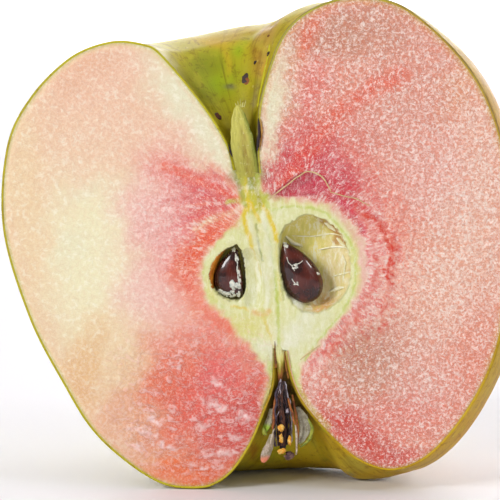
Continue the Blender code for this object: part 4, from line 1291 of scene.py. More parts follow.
def flesh_relief(places, from_skin, nature, strokes, settings):
    """How far the cut face lies below its plane at each place, from its dishing down to its grain."""
    wide = [(x, 0.0, z) for x, z in places]
    grain, wet = nature[:, 0], nature[:, 1]
    depth = 0.09 * ripple(wide, 6.0, 1.0) + 0.03 * ripple(wide, 1.6, 6.0)
    depth += 0.14 * np.exp(-((from_skin / 0.5) ** 2))
    clumps = np.array([1 - noise.voronoi(Vector(p) / 1.25 + Vector((0.0, 4.0, 0.0)))[0][0] for p in wide])
    depth -= wet * settings.clump_height / MM * eased(clumps, 0.35, 0.85)
    depth += grain * 0.025 * ripple(wide, 0.45, 9.0)
    return depth + strokes


def flesh_points(outline, settings):
    """Points of the cut face inside the outline: an even field, closer in the core, and rings in hollows."""
    fields = []
    low, high = outline.min(axis=0), outline.max(axis=0)
    for step, fine in ((settings.point_spacing / MM, False), (settings.core_spacing / MM, True)):
        columns = np.arange(low[0], high[0], step)
        rows = np.arange(low[1], high[1], step * math.sqrt(0.75))
        x, z = np.meshgrid(columns, rows)
        x = x + np.where(np.arange(len(rows)) % 2, step / 2, 0.0)[:, None]
        field = np.column_stack((x.ravel(), z.ravel()))
        in_core = loop_depth(field, CORE_OUTLINE) > -CORE_MARGIN
        fields.append(field[in_core] if fine else field[~in_core])
    field = np.vstack(fields)
    for name in HOLLOWS:
        field = field[hollow_spread(field, name) > HOLLOW_KEEP_OUT]
    rings = []
    for hollow, _, _ in HOLLOWS.values():
        middle = np.mean(hollow, axis=0)
        girth = 2 * math.pi * np.linalg.norm(np.array(hollow) - middle, axis=1).mean()
        for spread in (*RIM_RINGS, *np.arange(0.92, 0.03, -RING_STEP)):
            count = max(8, int(spread * girth / RING_SPACING))
            loop = np.array([smooth_loop(hollow, (index + spread) / count) for index in range(count)])
            rings.append(middle + (loop - middle) * spread)
    field = np.vstack([field] + rings)
    field = field[inside_loop(field, outline)]
    tree = KDTree(len(outline) * 4)
    beyond = np.roll(outline, -1, axis=0)
    dense = np.stack([outline + (beyond - outline) * quarter / 4 for quarter in range(4)], axis=1)
    for index, (x, z) in enumerate(dense.reshape(-1, 2)):
        tree.insert((x, 0.0, z), index)
    tree.balance()
    near = np.array([tree.find((x, 0.0, z))[2] for x, z in field])
    keep = near > SKIN_KEEP_OUT
    return field[keep], near[keep]


def build_flesh():
    """The cut flesh: a dense sculpted face in front, and a plain back under the skin."""
    settings = bpy.context.scene.apple_half_flesh
    thickness = bpy.context.scene.apple_half_skin.thickness / MM
    places = skin_places()
    outer, outward = skin_surface(FLESH_COLUMNS, places)
    rim = np.zeros(outer.shape[:2])
    rim[:, 1:-1] = UNDER_SKIN
    inner = above_floor(outer - outward * (thickness + rim)[..., None], thickness)
    right, left = inner[:, 0][:, (0, 2)], inner[:, -1][:, (0, 2)]
    outline = np.vstack((right, left[::-1]))
    field, near = flesh_points(outline, settings)
    flat = np.vstack((outline, field))
    from_skin = np.concatenate((np.zeros(len(outline)), near))
    colours, nature, strokes = flesh_colours(flat, from_skin, settings)
    depth = flesh_relief(flat, from_skin, nature, strokes, settings) + hollow_depth(flat)
    depth[: len(outline)] = 0.0
    count = len(outline)
    edges = [(index, (index + 1) % count) for index in range(count)]
    made = delaunay_2d_cdt([Vector(p) for p in flat.tolist()], edges, [list(range(count))], 1, 1e-6)
    points = np.array([(p.x, p.y) for p in made[0]])
    origin = np.array([found[0] if found else 0 for found in made[3]])
    front = np.column_stack((points[:, 0], depth[origin], points[:, 1]))
    front_faces = [tuple(face) for face in made[2]]
    a, b, c = (front[front_faces[0][index]] for index in range(3))
    if np.cross(b - a, c - a)[1] > 0:
        front_faces = [face[::-1] for face in front_faces]
    back = inner[:, 1:-1].reshape(-1, 3)
    rows, columns = len(places), outer.shape[1]
    start = len(front)
    new_index = {old: new for new, old in reversed(list(enumerate(origin.tolist())))}

    def corner(row, column):
        if column == 0:
            return new_index[row]
        if column == columns - 1:
            return new_index[2 * rows - 1 - row]
        return start + row * (columns - 2) + column - 1

    back_faces = [
        (corner(r, c), corner(r + 1, c), corner(r + 1, c + 1), corner(r, c + 1))
        for r in range(rows - 1)
        for c in range(columns - 1)
    ]
    back_faces.append([corner(0, c) for c in range(columns)])
    back_faces.append([corner(rows - 1, c) for c in range(columns - 1, -1, -1)])
    everything = np.vstack((front, back))
    x, z = (points - FAN_MIDDLE).T
    fan = np.column_stack((np.arctan2(x, z) * FAN_RADIUS, np.hypot(x, z), np.zeros(len(points))))
    layers = {
        "tint": np.vstack((colours[origin], np.tile(settings.cream, (len(back), 1)))),
        "nature": np.vstack((nature[origin], np.tile((0.5, 0.0, 0.0), (len(back), 1)))),
        "fan": np.vstack((fan, np.zeros((len(back), 3)))),
    }
    material = flesh_material(settings)
    piece = build_mesh("flesh", everything, front_faces + back_faces, material, layers)
    settle(piece, "flesh", "apple_flesh")


def skin_colours(points, settings):
    """Colour of the skin at each point."""
    drift = np.column_stack([ripple(points, 4.0, seed) for seed in (2.0, 6.0, 9.0)])
    soft = points + drift * 1.2
    colours = np.tile(settings.base, (len(points), 1))
    for _, x, y, z, wide, deep, tall, colour, strength in SKIN_PATCHES:
        away = np.linalg.norm((soft - np.array((x, y, z))) / np.array((wide, deep, tall)), axis=1)
        colours = paint_patch(colours, away, getattr(settings, colour), strength)
    return colours


def build_skin():
    """The skin: a thin closed shell whose edge shows all along the cut."""
    settings = bpy.context.scene.apple_half_skin
    thickness = settings.thickness / MM
    places = skin_places()
    outer, outward = skin_surface(SKIN_COLUMNS, places)
    rows, columns = outer.shape[:2]
    flat = outer.reshape(-1, 3)
    inland = np.ones(outer.shape[:2])
    inland[:, (0, -1)] = 0.0
    relief = (0.10 * ripple(flat, 7.0, 4.0) + 0.03 * ripple(flat, 1.5, 7.0)).reshape(rows, columns)
    for _, points, half_width, depth in SKIN_GROOVES:
        away = line_distance(flat, points) / half_width
        relief -= (depth * np.exp(-(away**2))).reshape(rows, columns)
    bent = above_floor(outer + outward * (relief * inland)[..., None])
    inner = above_floor(outer - outward * thickness, thickness)
    colours = skin_colours(flat, settings)
    # Painted dark reflection: a grey band along the cut edge of the skin on the right, above the middle.
    near_edge = np.minimum(flat[:, 1], 9.0)
    lowness = 1 - eased(flat[:, 2], -6.0, 6.0)
    rim = (1 - eased(near_edge, 0.0, 0.5)) * (flat[:, 0] > 0)
    colours = paint_patch(colours, (1 - rim * (1 - lowness)) * 2.4, settings.grey, 0.75)
    sunny = eased(flat[:, 0] - 0.4 * flat[:, 2], -2.0, 16.0)[:, None]
    edge = np.array(settings.edge) * (1 - sunny) + np.array(settings.gold) * sunny
    pit_top = np.linalg.norm((flat - np.array(PIT_TOP)) / np.array(PIT_TOP_SIZE), axis=1)
    edge = paint_patch(edge, pit_top, bpy.context.scene.apple_half_flesh.core, 1.0)
    c, r = np.meshgrid(np.arange(columns) / columns * STREAK_WIDTH, np.array(places) * STREAK_LENGTH)
    meridian = np.column_stack((c.ravel(), r.ravel(), np.zeros(rows * columns)))

    faces = []

    def quad(*corners):
        faces.append([(layer * rows + row) * columns + column for row, column, layer in corners])

    for r in range(rows - 1):
        for c in range(columns - 1):
            quad((r, c, 0), (r + 1, c, 0), (r + 1, c + 1, 0), (r, c + 1, 0))
            quad((r, c + 1, 1), (r + 1, c + 1, 1), (r + 1, c, 1), (r, c, 1))
        quad((r, 0, 0), (r, 0, 1), (r + 1, 0, 1), (r + 1, 0, 0))
        last = columns - 1
        quad((r, last, 0), (r + 1, last, 0), (r + 1, last, 1), (r, last, 1))
    for c in range(columns - 1):
        quad((0, c, 0), (0, c + 1, 0), (0, c + 1, 1), (0, c, 1))
        last = rows - 1
        quad((last, c, 0), (last, c, 1), (last, c + 1, 1), (last, c + 1, 0))
    everything = np.vstack((bent.reshape(-1, 3), inner.reshape(-1, 3)))
    layers = {"tint": np.vstack((colours, edge)), "meridian": np.vstack((meridian, meridian))}
    piece = build_mesh("skin", everything, faces, skin_material(), layers)
    return settle(piece, "flesh", "apple_flesh")


def node_tree(name, inputs, nodes, links):
    """Geometry nodes from tables: sockets of the group, nodes with settings and values, and links."""
    tree = bpy.data.node_groups.new(name, "GeometryNodeTree")
    for label, kind in inputs:
        tree.interface.new_socket(label, in_out="INPUT", socket_type="NodeSocket" + kind)
    tree.interface.new_socket("Geometry", in_out="OUTPUT", socket_type="NodeSocketGeometry")
    made = {"start": tree.nodes.new("NodeGroupInput"), "end": tree.nodes.new("NodeGroupOutput")}
    for label, kind, settings, values in nodes:
        made[label] = tree.nodes.new(kind)
        for setting, value in settings.items():
            setattr(made[label], setting, value)
        for socket, value in values.items():
            made[label].inputs[socket].default_value = value
    for source, outgoing, target, incoming in links:
        tree.links.new(made[source].outputs[outgoing], made[target].inputs[incoming])
    return tree


def thread_tree():
    """Geometry nodes that turn a line with a thickness attribute into a round closed thread."""
    return node_tree(
        "thread_along_line",
        (("Geometry", "Geometry"), ("Sides", "Int"), ("Finish", "Material")),
        (
            ("curve", "GeometryNodeMeshToCurve", {}, {}),
            ("radius", "GeometryNodeSetCurveRadius", {}, {}),
            ("thickness", "GeometryNodeInputNamedAttribute", {"data_type": "FLOAT"}, {"Name": "thickness"}),
            ("circle", "GeometryNodeCurvePrimitiveCircle", {}, {"Radius": MM}),
            ("tube", "GeometryNodeCurveToMesh", {}, {"Fill Caps": True}),
            ("real", "GeometryNodeRealizeInstances", {}, {}),
            ("finish", "GeometryNodeSetMaterial", {}, {}),
        ),
        (
            ("start", "Geometry", "curve", "Mesh"),
            ("curve", "Curve", "radius", "Curve"),
            ("thickness", "Attribute", "radius", "Radius"),
            ("start", "Sides", "circle", "Resolution"),
            ("radius", "Curve", "tube", "Curve"),
            ("circle", "Curve", "tube", "Profile Curve"),
            ("thickness", "Attribute", "tube", "Scale"),
            ("tube", "Mesh", "real", "Geometry"),
            ("real", "Geometry", "finish", "Geometry"),
            ("start", "Finish", "finish", "Material"),
            ("finish", "Geometry", "end", "Geometry"),
        ),
    )


def hair_tree():
    """Geometry nodes that scatter short tapered hairs over a surface."""
    cone = {"Vertices": 4, "Side Segments": 2, "Radius Top": HAIR_TIP * MM, "Radius Bottom": HAIR_ROOT * MM}
    lean = {"Min": (-HAIR_LEAN, -HAIR_LEAN, 0.0), "Max": (HAIR_LEAN, HAIR_LEAN, HAIR_TURN)}
    stretch = {2: HAIR_SHORTEST, 3: HAIR_LONGEST}
    return node_tree(
        "hairs_on_surface",
        (
            ("Geometry", "Geometry"), ("Density", "Float"), ("Length", "Float"), ("Seed", "Int"),
            ("Finish", "Material"),
        ),
        (
            ("scatter", "GeometryNodeDistributePointsOnFaces", {}, {}),
            ("cone", "GeometryNodeMeshCone", {}, cone),
            ("lean", "FunctionNodeRandomValue", {"data_type": "FLOAT_VECTOR"}, lean),
            ("rotation", "FunctionNodeEulerToRotation", {}, {}),
            ("turn", "FunctionNodeRotateRotation", {"rotation_space": "LOCAL"}, {}),
            ("stretch", "FunctionNodeRandomValue", {"data_type": "FLOAT"}, stretch),
            ("place", "GeometryNodeInstanceOnPoints", {}, {}),
            ("real", "GeometryNodeRealizeInstances", {}, {}),
            ("finish", "GeometryNodeSetMaterial", {}, {}),
        ),
        (
            ("start", "Geometry", "scatter", "Mesh"),
            ("start", "Density", "scatter", "Density"),
            ("start", "Seed", "scatter", "Seed"),
            ("start", "Length", "cone", "Depth"),
            ("scatter", "Points", "place", "Points"),
            ("cone", "Mesh", "place", "Instance"),
            ("scatter", "Rotation", "turn", 0),
            ("lean", 0, "rotation", 0),
            ("rotation", 0, "turn", 1),
            ("turn", 0, "place", "Rotation"),
            ("stretch", 1, "place", "Scale"),
            ("place", "Instances", "real", "Geometry"),
            ("real", "Geometry", "finish", "Geometry"),
            ("start", "Finish", "finish", "Material"),
            ("finish", "Geometry", "end", "Geometry"),
        ),
    )


def run_tree(name, mesh, tree, values):
    """A plain mesh object, made by running geometry nodes on a mesh with the values of its inputs."""
    carrier = bpy.data.objects.new(name, mesh)
    bpy.context.scene.collection.objects.link(carrier)
    modifier = carrier.modifiers.new(name, "NODES")
    modifier.node_group = tree
    for item in tree.interface.items_tree:
        if item.item_type == "SOCKET" and item.in_out == "INPUT" and item.name in values:
            modifier[item.identifier] = values[item.name]
    evaluated = carrier.evaluated_get(bpy.context.evaluated_depsgraph_get())
    result = bpy.data.meshes.new_from_object(evaluated)
    carrier.modifiers.clear()
    carrier.data = result
    result.name = name
    result.shade_smooth()
    return carrier


def line_mesh(name, lines):
    """Loose lines in the row frame, with the thickness of each point as an attribute."""
    points, edges, thickness = [], [], []
    for line in lines:
        first = len(points)
        for x, y, z, radius in line:
            points.append(TO_ROW @ Vector((x, y, z)))
            thickness.append(radius)
        edges += [(index, index + 1) for index in range(first, len(points) - 1)]
    mesh = bpy.data.meshes.new(name)
    mesh.from_pydata(points, edges, [])
    layer = mesh.attributes.new("thickness", "FLOAT", "POINT")
    layer.data.foreach_set("value", thickness)
    return mesh


def wavy_line(rows, steps, sway, seed):
    """A smooth line through rows of X, Y, Z and radius that wanders a little from side to side."""
    line = []
    for index, (x, y, z, radius) in enumerate(smooth_line(rows, steps)):
        held = math.sin(math.pi * index / steps)
        shift = noise.noise_vector(Vector((seed, index * 0.23, 0.0))) * sway * held
        line.append((x + shift.x, y + shift.y * 0.5, z, radius * (1 + 0.3 * shift.z / max(sway, 1e-6))))
    return line


def build_threads(name, lines, material):
    """Threads along lines, as one piece."""
    sides = bpy.context.scene.apple_half_small.thread_sides
    tree = bpy.data.node_groups.get("thread_along_line") or thread_tree()
    return run_tree(name, line_mesh(name, lines), tree, {"Sides": sides, "Finish": material})


def grid_faces(rows, columns, closed=False):
    """Four-sided faces between rows of a grid of places, whose rows may close into rings."""
    faces = []
    for row in range(rows - 1):
        for column in range(columns if closed else columns - 1):
            a, b = row * columns + column, row * columns + (column + 1) % columns
            faces.append((a, b, b + columns, a + columns))
    return faces


def thicken(piece, millimetres):
    """Give a thin sheet its thickness, half on either side."""
    wall = piece.modifiers.new("thickness", "SOLIDIFY")
    wall.thickness = millimetres * MM
    wall.offset = 0.0


def unit_ball(subdivisions):
    """The points and faces of a ball of radius 1."""
    bm = bmesh.new()
    bmesh.ops.create_icosphere(bm, subdivisions=subdivisions, radius=1.0)
    points = [vert.co.copy() for vert in bm.verts]
    faces = [[vert.index for vert in face.verts] for face in bm.faces]
    bm.free()
    return points, faces


def lumpy(points, half_size, roughness, seed, facets=False):
    """The points of a ball, roughened by noise or cut into facets and stretched to its half sizes."""
    lumps = []
    for point in points:
        if facets:
            swell = 1 - roughness * noise.cell(point * 2.2 + seed)
        else:
            swell = 1 + roughness * noise.fractal(point * 1.7 + seed, 0.7, 2.0, 3)
        lumps.append(Vector((point[axis] * half_size[axis] * swell for axis in range(3))))
    return lumps


def blob(name, centre, half_size, material, seed, roughness, facets=False):
    """An irregular lump or crystal."""
    points, faces = unit_ball(3)
    lumps = lumpy(points, half_size, roughness, Vector((seed, 0.0, 0.0)), facets)
    return build_mesh(name, [tuple(Vector(centre) + lump) for lump in lumps], faces, material)


def stem_face(x, z, share):
    """Colour of the stem's cut face, at a share of -1 to 1 of its half width."""
    pale, fibre = np.array(linear("CCC65C")), np.array(linear("8A8410"))
    bark, rust = np.array(linear(STEM_BARK_COLOUR)), np.array(linear("8A5A10"))
    low = max(0.0, (12.6 - z) / 4.0)
    core = math.exp(-((share - 0.15) / 0.3) ** 2) * min(max(0.0, (14.6 - z) / 1.6), 1.0)
    streaky = 0.5 + 0.5 * noise.noise(Vector((x * 6, 0.0, z * 0.9)))
    shade = pale * (1 - 0.55 * streaky * min(low + 0.25, 1.0)) + fibre * 0.5 * streaky * low
    shade = shade * (1 - 0.8 * core * streaky) + rust * 0.8 * core * streaky
    dull = 0.35 * min(low, 1.0)
    shade = shade * (1 - dull) + fibre * dull
    at_right = max(0.0, (share - 0.5) / 0.5) * min(1.0, max(0.0, (16.6 - z)))
    return shade * (1 - at_right) + bark * at_right


def stem_material():
    """The stem's painted colours, drawn out into fibres along it."""
    paint = Paint("stem_cut")
    place = paint.place()
    fibres = paint.noise(paint.scaled(place, (1.0, 1.0, 0.16)), 3.4, 4.0, 0.65)
    fine = paint.noise(place, 3.0, 3.0, 0.6)
    base = paint.attribute("tint")
    darker = paint.mix(1.0, base, (0.55, 0.52, 0.25), "MULTIPLY")
    lined = paint.mix(fibres.step(0.5, 0.7) * 0.6, base, darker)
    return paint.finish(
        Base_Color=paint.mix(fine.step(0.58, 0.8) * 0.5, lined, linear("E9E8B4")),
        Roughness=0.55,
        Normal=paint.bump(fibres * 0.7 + fine * 0.3, 0.1),
    )


def build_stem_stub():
    """The halved stem stub: a flat fibrous face in front and rough bark behind."""
    columns, steps = 36, 90
    half = columns // 2
    bark = np.array(linear(STEM_BARK_COLOUR))
    places, colours = [], []
    for z, left, right in smooth_line(STEM_ROWS, steps):
        wander = 0.08 * noise.noise(Vector((z * 1.3, 0.0, 3.0)))
        middle, half_width = (left + right) / 2 + wander, max((right - left) / 2, 0.03)
        for column in range(columns):
            if column <= half:
                share = column / half * 2 - 1
                x = middle + half_width * share
                rib = 0.035 * math.sin(share * 9 + noise.noise(Vector((z * 0.8, share, 0.0))) * 3)
                sunk = 0.10 * abs(share) ** 4 + rib + 0.05 * noise.noise(Vector((x * 3, 0.0, z * 1.2)))
                places.append((x, 0.02 + sunk, z))
                colours.append(stem_face(x, z, share))
            else:
                turn = math.pi * (column - half) / (columns - half)
                ridges = 1 + 0.05 * noise.noise(Vector((math.cos(turn) * 4, math.sin(turn) * 4, z * 1.5)))
                x = middle + half_width * math.cos(turn) * ridges
                places.append((x, 0.12 + half_width * STEM_DEPTH * math.sin(turn) * ridges, z))
                colours.append(bark * (0.8 + 0.4 * noise.noise(Vector((x * 3, turn, z)))))
    faces = grid_faces(steps + 1, columns, closed=True)
    faces.append(list(range(columns))[::-1])
    faces.append([steps * columns + column for column in range(columns)])
    piece = build_mesh("stem_stub", places, faces, stem_material(), {"tint": np.array(colours)})
    bm = bmesh.new()
    bm.from_mesh(piece.data)
    bmesh.ops.recalc_face_normals(bm, faces=bm.faces)
    bm.to_mesh(piece.data)
    bm.free()
    settle(piece, "stem", "stem")


def build_stem():
    """The stem stub, the slits beside it and the shreds at its top."""
    build_stem_stub()
    # The slits are near-black threads: painted shade in the gaps beside the stem.
    slit = mottled_material("slit_painted_shade", "2A1420", "150A10", 0.5)
    long_slit, short_slit = STEM_SLITS
    lines = [wavy_line(long_slit, 18, 0.12, 2.0), wavy_line(short_slit, 8, 0.05, 5.0)]
    settle(build_threads("stem_slits", lines, slit), "stem")
    border = mottled_material("slit_border", "B8883A", "8A5A14", 0.6)
    settle(build_threads("stem_slit_border", [wavy_line(SLIT_BORDER, 12, 0.05, 7.0)], border), "stem")
    shred = mottled_material("stem_shred", "CFCB7E", "A8A04A", 0.6)
    tufts = [
        ((-1.5 + 0.2 * n, 0.2, 16.6, 0.1), (-1.7 + 0.3 * n, 0.35, 16.95 + 0.1 * (n % 2), 0.08),
         (-1.8 + 0.36 * n, 0.6, 17.2 + 0.25 * (n % 3), 0.03))
        for n in range(5)
    ]
    settle(build_threads("stem_tuft", [smooth_line(tuft, 6) for tuft in tufts], shred), "stem")


def build_seed(name, seed, material):
    """A drop-shaped seed with a faint keel, cut off nearly flat where it has a limit in X."""
    tip, end, half_width, half_thickness, trim = seed
    tip, end = Vector(tip), Vector(end)
    along = end - tip
    across = along.cross(Vector((0, 1, 0))).normalized()
    through = across.cross(along).normalized()
    bm = bmesh.new()
    bmesh.ops.create_uvsphere(bm, u_segments=96, v_segments=72, radius=1.0)
    for vert in bm.verts:
        place = math.acos(max(-1.0, min(1.0, vert.co.z))) / math.pi
        girth = 2.49 * place**0.9 * (1 - place) ** 0.5
        turn = math.atan2(vert.co.y, vert.co.x)
        wrinkle = 1 + 0.012 * noise.noise(Vector((math.cos(turn) * 5, math.sin(turn) * 5, place * 3)))
        keel = 1 + 0.09 * math.exp(-((turn + 0.75) / 0.3) ** 2)
        vert.co = (
            tip + along * place
            + across * (math.cos(turn) * girth * half_width * wrinkle)
            + through * (math.sin(turn) * girth * half_thickness * wrinkle * keel)
        )
        if trim is not None and vert.co.x > trim:
            ragged = 0.18 * noise.noise(Vector((vert.co.y * 2.0, vert.co.z * 2.6, 1.0)))
            vert.co.x = trim + ragged + (vert.co.x - trim) * 0.04
    bmesh.ops.recalc_face_normals(bm, faces=bm.faces)
    places = [tuple(vert.co) for vert in bm.verts]
    faces = [[vert.index for vert in face.verts] for face in bm.faces]
    bm.free()
    piece = build_mesh(name + "_coat", places, faces, material)
    settle(piece, "seed", name)
    return BVHTree.FromPolygons([Vector(place) for place in places], faces)


def on_seed(surfaces, x, z):
    """The point of the nearer seed that shows at X and Z of the cut face, or None beside it."""
    surface = surfaces[0] if x > 0 else surfaces[1]
    return surface.ray_cast(Vector((x, -20.0, z)), Vector((0.0, 1.0, 0.0)))[0]


def build_seed_crumbs(surfaces, material):
    """Pale crumbs that stick to the seeds."""
    draw = random.Random(5)
    ball, ball_faces = unit_ball(2)
    places, faces = [], []
    for (x, z), half_size in SEED_CRUMBS:
        for _ in range(CRUMBS_EACH):
            at_x = x + draw.uniform(-CRUMB_SPREAD, CRUMB_SPREAD) * half_size[0]
            at_z = z + draw.uniform(-CRUMB_SPREAD, CRUMB_SPREAD) * half_size[2]
            spot = on_seed(surfaces, at_x, at_z)
            if spot is None:
                continue
            size = [draw.uniform(0.55, 1.0) * half for half in half_size]
            faces += [[len(places) + index for index in face] for face in ball_faces]
            lumps = lumpy(ball, size, 0.6, Vector((at_x * 9, at_z * 9, 0.0)))
            places += [tuple(spot + lump) for lump in lumps]
    settle(build_mesh("seed_crumbs", places, faces, material), "seed")


def build_seed_threads(surfaces, material):
    """Pale threads that lie on the seeds."""
    lines = []
    for points in SEED_THREADS:
        line = []
        for x, z, radius in smooth_line([(*point, SEED_THREAD_RADIUS) for point in points], 12):
            spot = on_seed(surfaces, x, z)
            line.append((x, (spot.y if spot else 0.1) - 0.02, z, radius))
        lines.append(line)
    settle(build_threads("seed_threads", lines, material), "seed")


def build_cell_lining():
    """The tan lining beside the left seed."""
    material = mottled_material("cell_lining", "F0A030", "B8661A", 0.3, 0.6, Coat_Weight=0.4)
    steps, across = 30, 4
    places = []
    for index, (x, z) in enumerate(smooth_line(CELL_LINING, steps)):
        inward = Vector((LINING_MIDDLE[0] - x, 0.0, LINING_MIDDLE[1] - z)).normalized()
        width = LINING_WIDTH * math.sin(math.pi * min(index / steps * 1.1, 1.0)) + 0.05
        for step in range(across + 1):
            reach = step / across
            place = Vector((x, 0.18 + 1.5 * reach**1.5, z)) + inward * (width * reach - 0.06)
            places.append(tuple(place))
    piece = build_mesh("left_cell_lining", places, grid_faces(steps + 1, across + 1), material)
    thicken(piece, LINING_THICKNESS)
    settle(piece, "flesh")


def build_seeds():
    """Both seeds, the pale crumbs and threads on them, and the lining beside the left one."""
    material = seed_material(bpy.context.scene.apple_half_small)
    surfaces = [build_seed(name, seed, material) for name, seed in SEEDS.items()]
    crumb = mottled_material("seed_crumb", "EDEBDD", "B4BCB4", 0.5, 3.0)
    build_seed_crumbs(surfaces, crumb)
    build_seed_threads(surfaces, crumb)
    build_cell_lining()


def build_core_shreds():
    """Strands and torn membrane of the core."""
    beige = mottled_material("strand", "DCCB92", "C8A878", 0.5, 1.2)
    lines = [wavy_line(rows, 26, 0.22, index * 3.7) for index, rows in enumerate(CORE_THREADS.values())]
    settle(build_threads("core_strands", lines, beige), "flesh")
    pale = mottled_material("membrane_wrinkle", "FAF8E2", "E6DFA8", 0.3, 1.5, Coat_Weight=0.3)
    lines = []
    for index, (points, half_width) in enumerate(CELL_WRINKLES):
        rows = [(x, 0.0, z, half_width) for x, z in points]
        line = wavy_line(rows, 16, 0.2, index * 5.3)
        depth = hollow_depth(np.array([(x, z) for x, _, z, _ in line]))
        last = len(line) - 1
        lines.append([
            (x, y_floor - radius * 0.35, z, radius * (0.2 + 0.8 * math.sin(math.pi * at / last)))
            for at, ((x, _, z, radius), y_floor) in enumerate(zip(line, depth))
        ])
    settle(build_threads("membrane_wrinkles", lines, pale), "flesh")


def build_blemishes(skin):
    """Scabs and holes on the skin, each laid on its surface."""
    finishes = {
        "scab_dark": mottled_material("scab_dark", "241018", "3E2418", 0.5),
        "scab_brown": mottled_material("scab_brown", "8E5210", "5E3408", 0.55),
        "scab_red": mottled_material("scab_red", "5A1418", "34141C", 0.45),
    }
    bm = bmesh.new()
    bm.from_mesh(skin.data)
    surface = BVHTree.FromBMesh(bm)
    bm.free()
    for index, (name, centre, radius, finish) in enumerate(BLEMISHES):
        spot, outward, _, _ = surface.find_nearest(TO_ROW @ Vector(centre))
        places, faces = [(0.0, 0.0, 0.03)], []
        steps, start = 28, Vector((0.0, 0.0, index * 2.2))
        for share, lift in ((0.5, 0.05), (0.85, 0.06), (1.0, -0.02)):
            for step in range(steps):
                turn = 2 * math.pi * step / steps
                around = Vector((math.cos(turn) * 1.6, math.sin(turn) * 1.6, 0.0))
                reach = radius * share * (1 + 0.45 * noise.noise(around + start))
                places.append((reach * math.cos(turn), reach * math.sin(turn), lift))
        for step in range(steps):
            beyond = (step + 1) % steps
            faces.append((0, 1 + step, 1 + beyond))
            for ring in range(2):
                a, b = 1 + ring * steps + step, 1 + ring * steps + beyond
                faces.append((a, a + steps, b + steps, b))
        faces.append([1 + 2 * steps + step for step in range(steps)][::-1])
        piece = build_mesh("blemish_" + name, places, faces, finishes[finish])
        turn = outward.to_track_quat("Z", "Y").to_matrix().to_4x4()
        piece.data.transform(Matrix.Translation(spot) @ turn @ Matrix.Scale(MM, 4) @ FROM_ROW)
        settle(piece, "flesh")


def build_sepal(name, rows, across, material, hair):
    """A dry cupped sepal with wool on its face."""
    across = Vector(across).normalized()
    columns, steps = 14, 30
    places = []
    for x, y, z, half_width in smooth_line(rows, steps):
        for column in range(columns + 1):
            side = column / columns * 2 - 1
            curl = SEPAL_CUP * side**2 * half_width + 0.06 * noise.noise(Vector((side * 2, z * 1.4, x)))
            ragged = 1 + 0.12 * noise.noise(Vector((z * 2.2, side * 3, 4.0)))
            places.append(tuple(Vector((x, y + curl, z)) + across * side * half_width * ragged))
    piece = build_mesh(name + "_leaf", places, grid_faces(steps + 1, columns + 1), material)
    small = bpy.context.scene.apple_half_small
    tree = bpy.data.node_groups.get("hairs_on_surface") or hair_tree()
    values = {"Density": small.hair_density / MM**2, "Length": small.hair_length, "Seed": 7, "Finish": hair}
    wool = run_tree(name + "_wool", piece.data.copy(), tree, values)
    thicken(piece, SEPAL_THICKNESS)
    settle(piece, "sepal", name)
    settle(wool, "sepal")


def build_tongue(settings):
    """The style's tongue, green where it leaves the core and brown where it enters the pit."""
    sides, steps = 24, 60
    places, colours = [], []
    shades = [np.array(getattr(settings, name)) for name in ("core", "straw", "olive", "rust")]
    shades.append(np.array(linear("3A2014")))
    for index in range(steps + 1):
        x, y, z, radius = smooth_row(TONGUE, index / steps * (len(TONGUE) - 1))
        for side in range(sides):
            turn = 2 * math.pi * side / sides
            rib = 1 + 0.14 * noise.noise(Vector((math.cos(turn) * 3, math.sin(turn) * 3, z * 0.5)))
            places.append((x + radius * rib * math.cos(turn), y + 0.42 * radius * rib * math.sin(turn), z))
            streak = 0.9 * noise.noise(Vector((math.cos(turn) * 4, math.sin(turn) * 4, z * 0.3)))
            stage = min(max((-16.4 - z) * 0.9 + streak, 0.0), 3.999)
            low = int(stage)
            colours.append(shades[low] * (1 - stage + low) + shades[low + 1] * (stage - low))
    faces = [(a, d, c, b) for a, b, c, d in grid_faces(steps + 1, sides, closed=True)]
    faces.append(list(range(sides)))
    faces.append([steps * sides + side for side in range(sides)][::-1])
    paint = Paint("style_tongue")
    fibres = paint.noise(paint.scaled(paint.place(), (1.0, 1.0, 0.2)), 4.0, 4.0, 0.65)
    base = paint.attribute("tint")
    darker = paint.mix(1.0, base, linear("B08A50"), "MULTIPLY")
    material = paint.finish(
        Base_Color=paint.mix(fibres.step(0.48, 0.66) * 0.6, base, darker),
        Roughness=0.5,
        Normal=paint.bump(fibres, 0.08),
    )
    settle(build_mesh("style_tongue", places, faces, material, {"tint": np.array(colours)}), "dry_flower")
    brown = mottled_material("pit_slit", "A0661A", "5A300E", 0.5, 2.0)
    lines = [wavy_line(rows, 20, 0.08, index * 5.1) for index, rows in enumerate(SLITS)]
    settle(build_threads("pit_slits", lines, brown), "dry_flower")


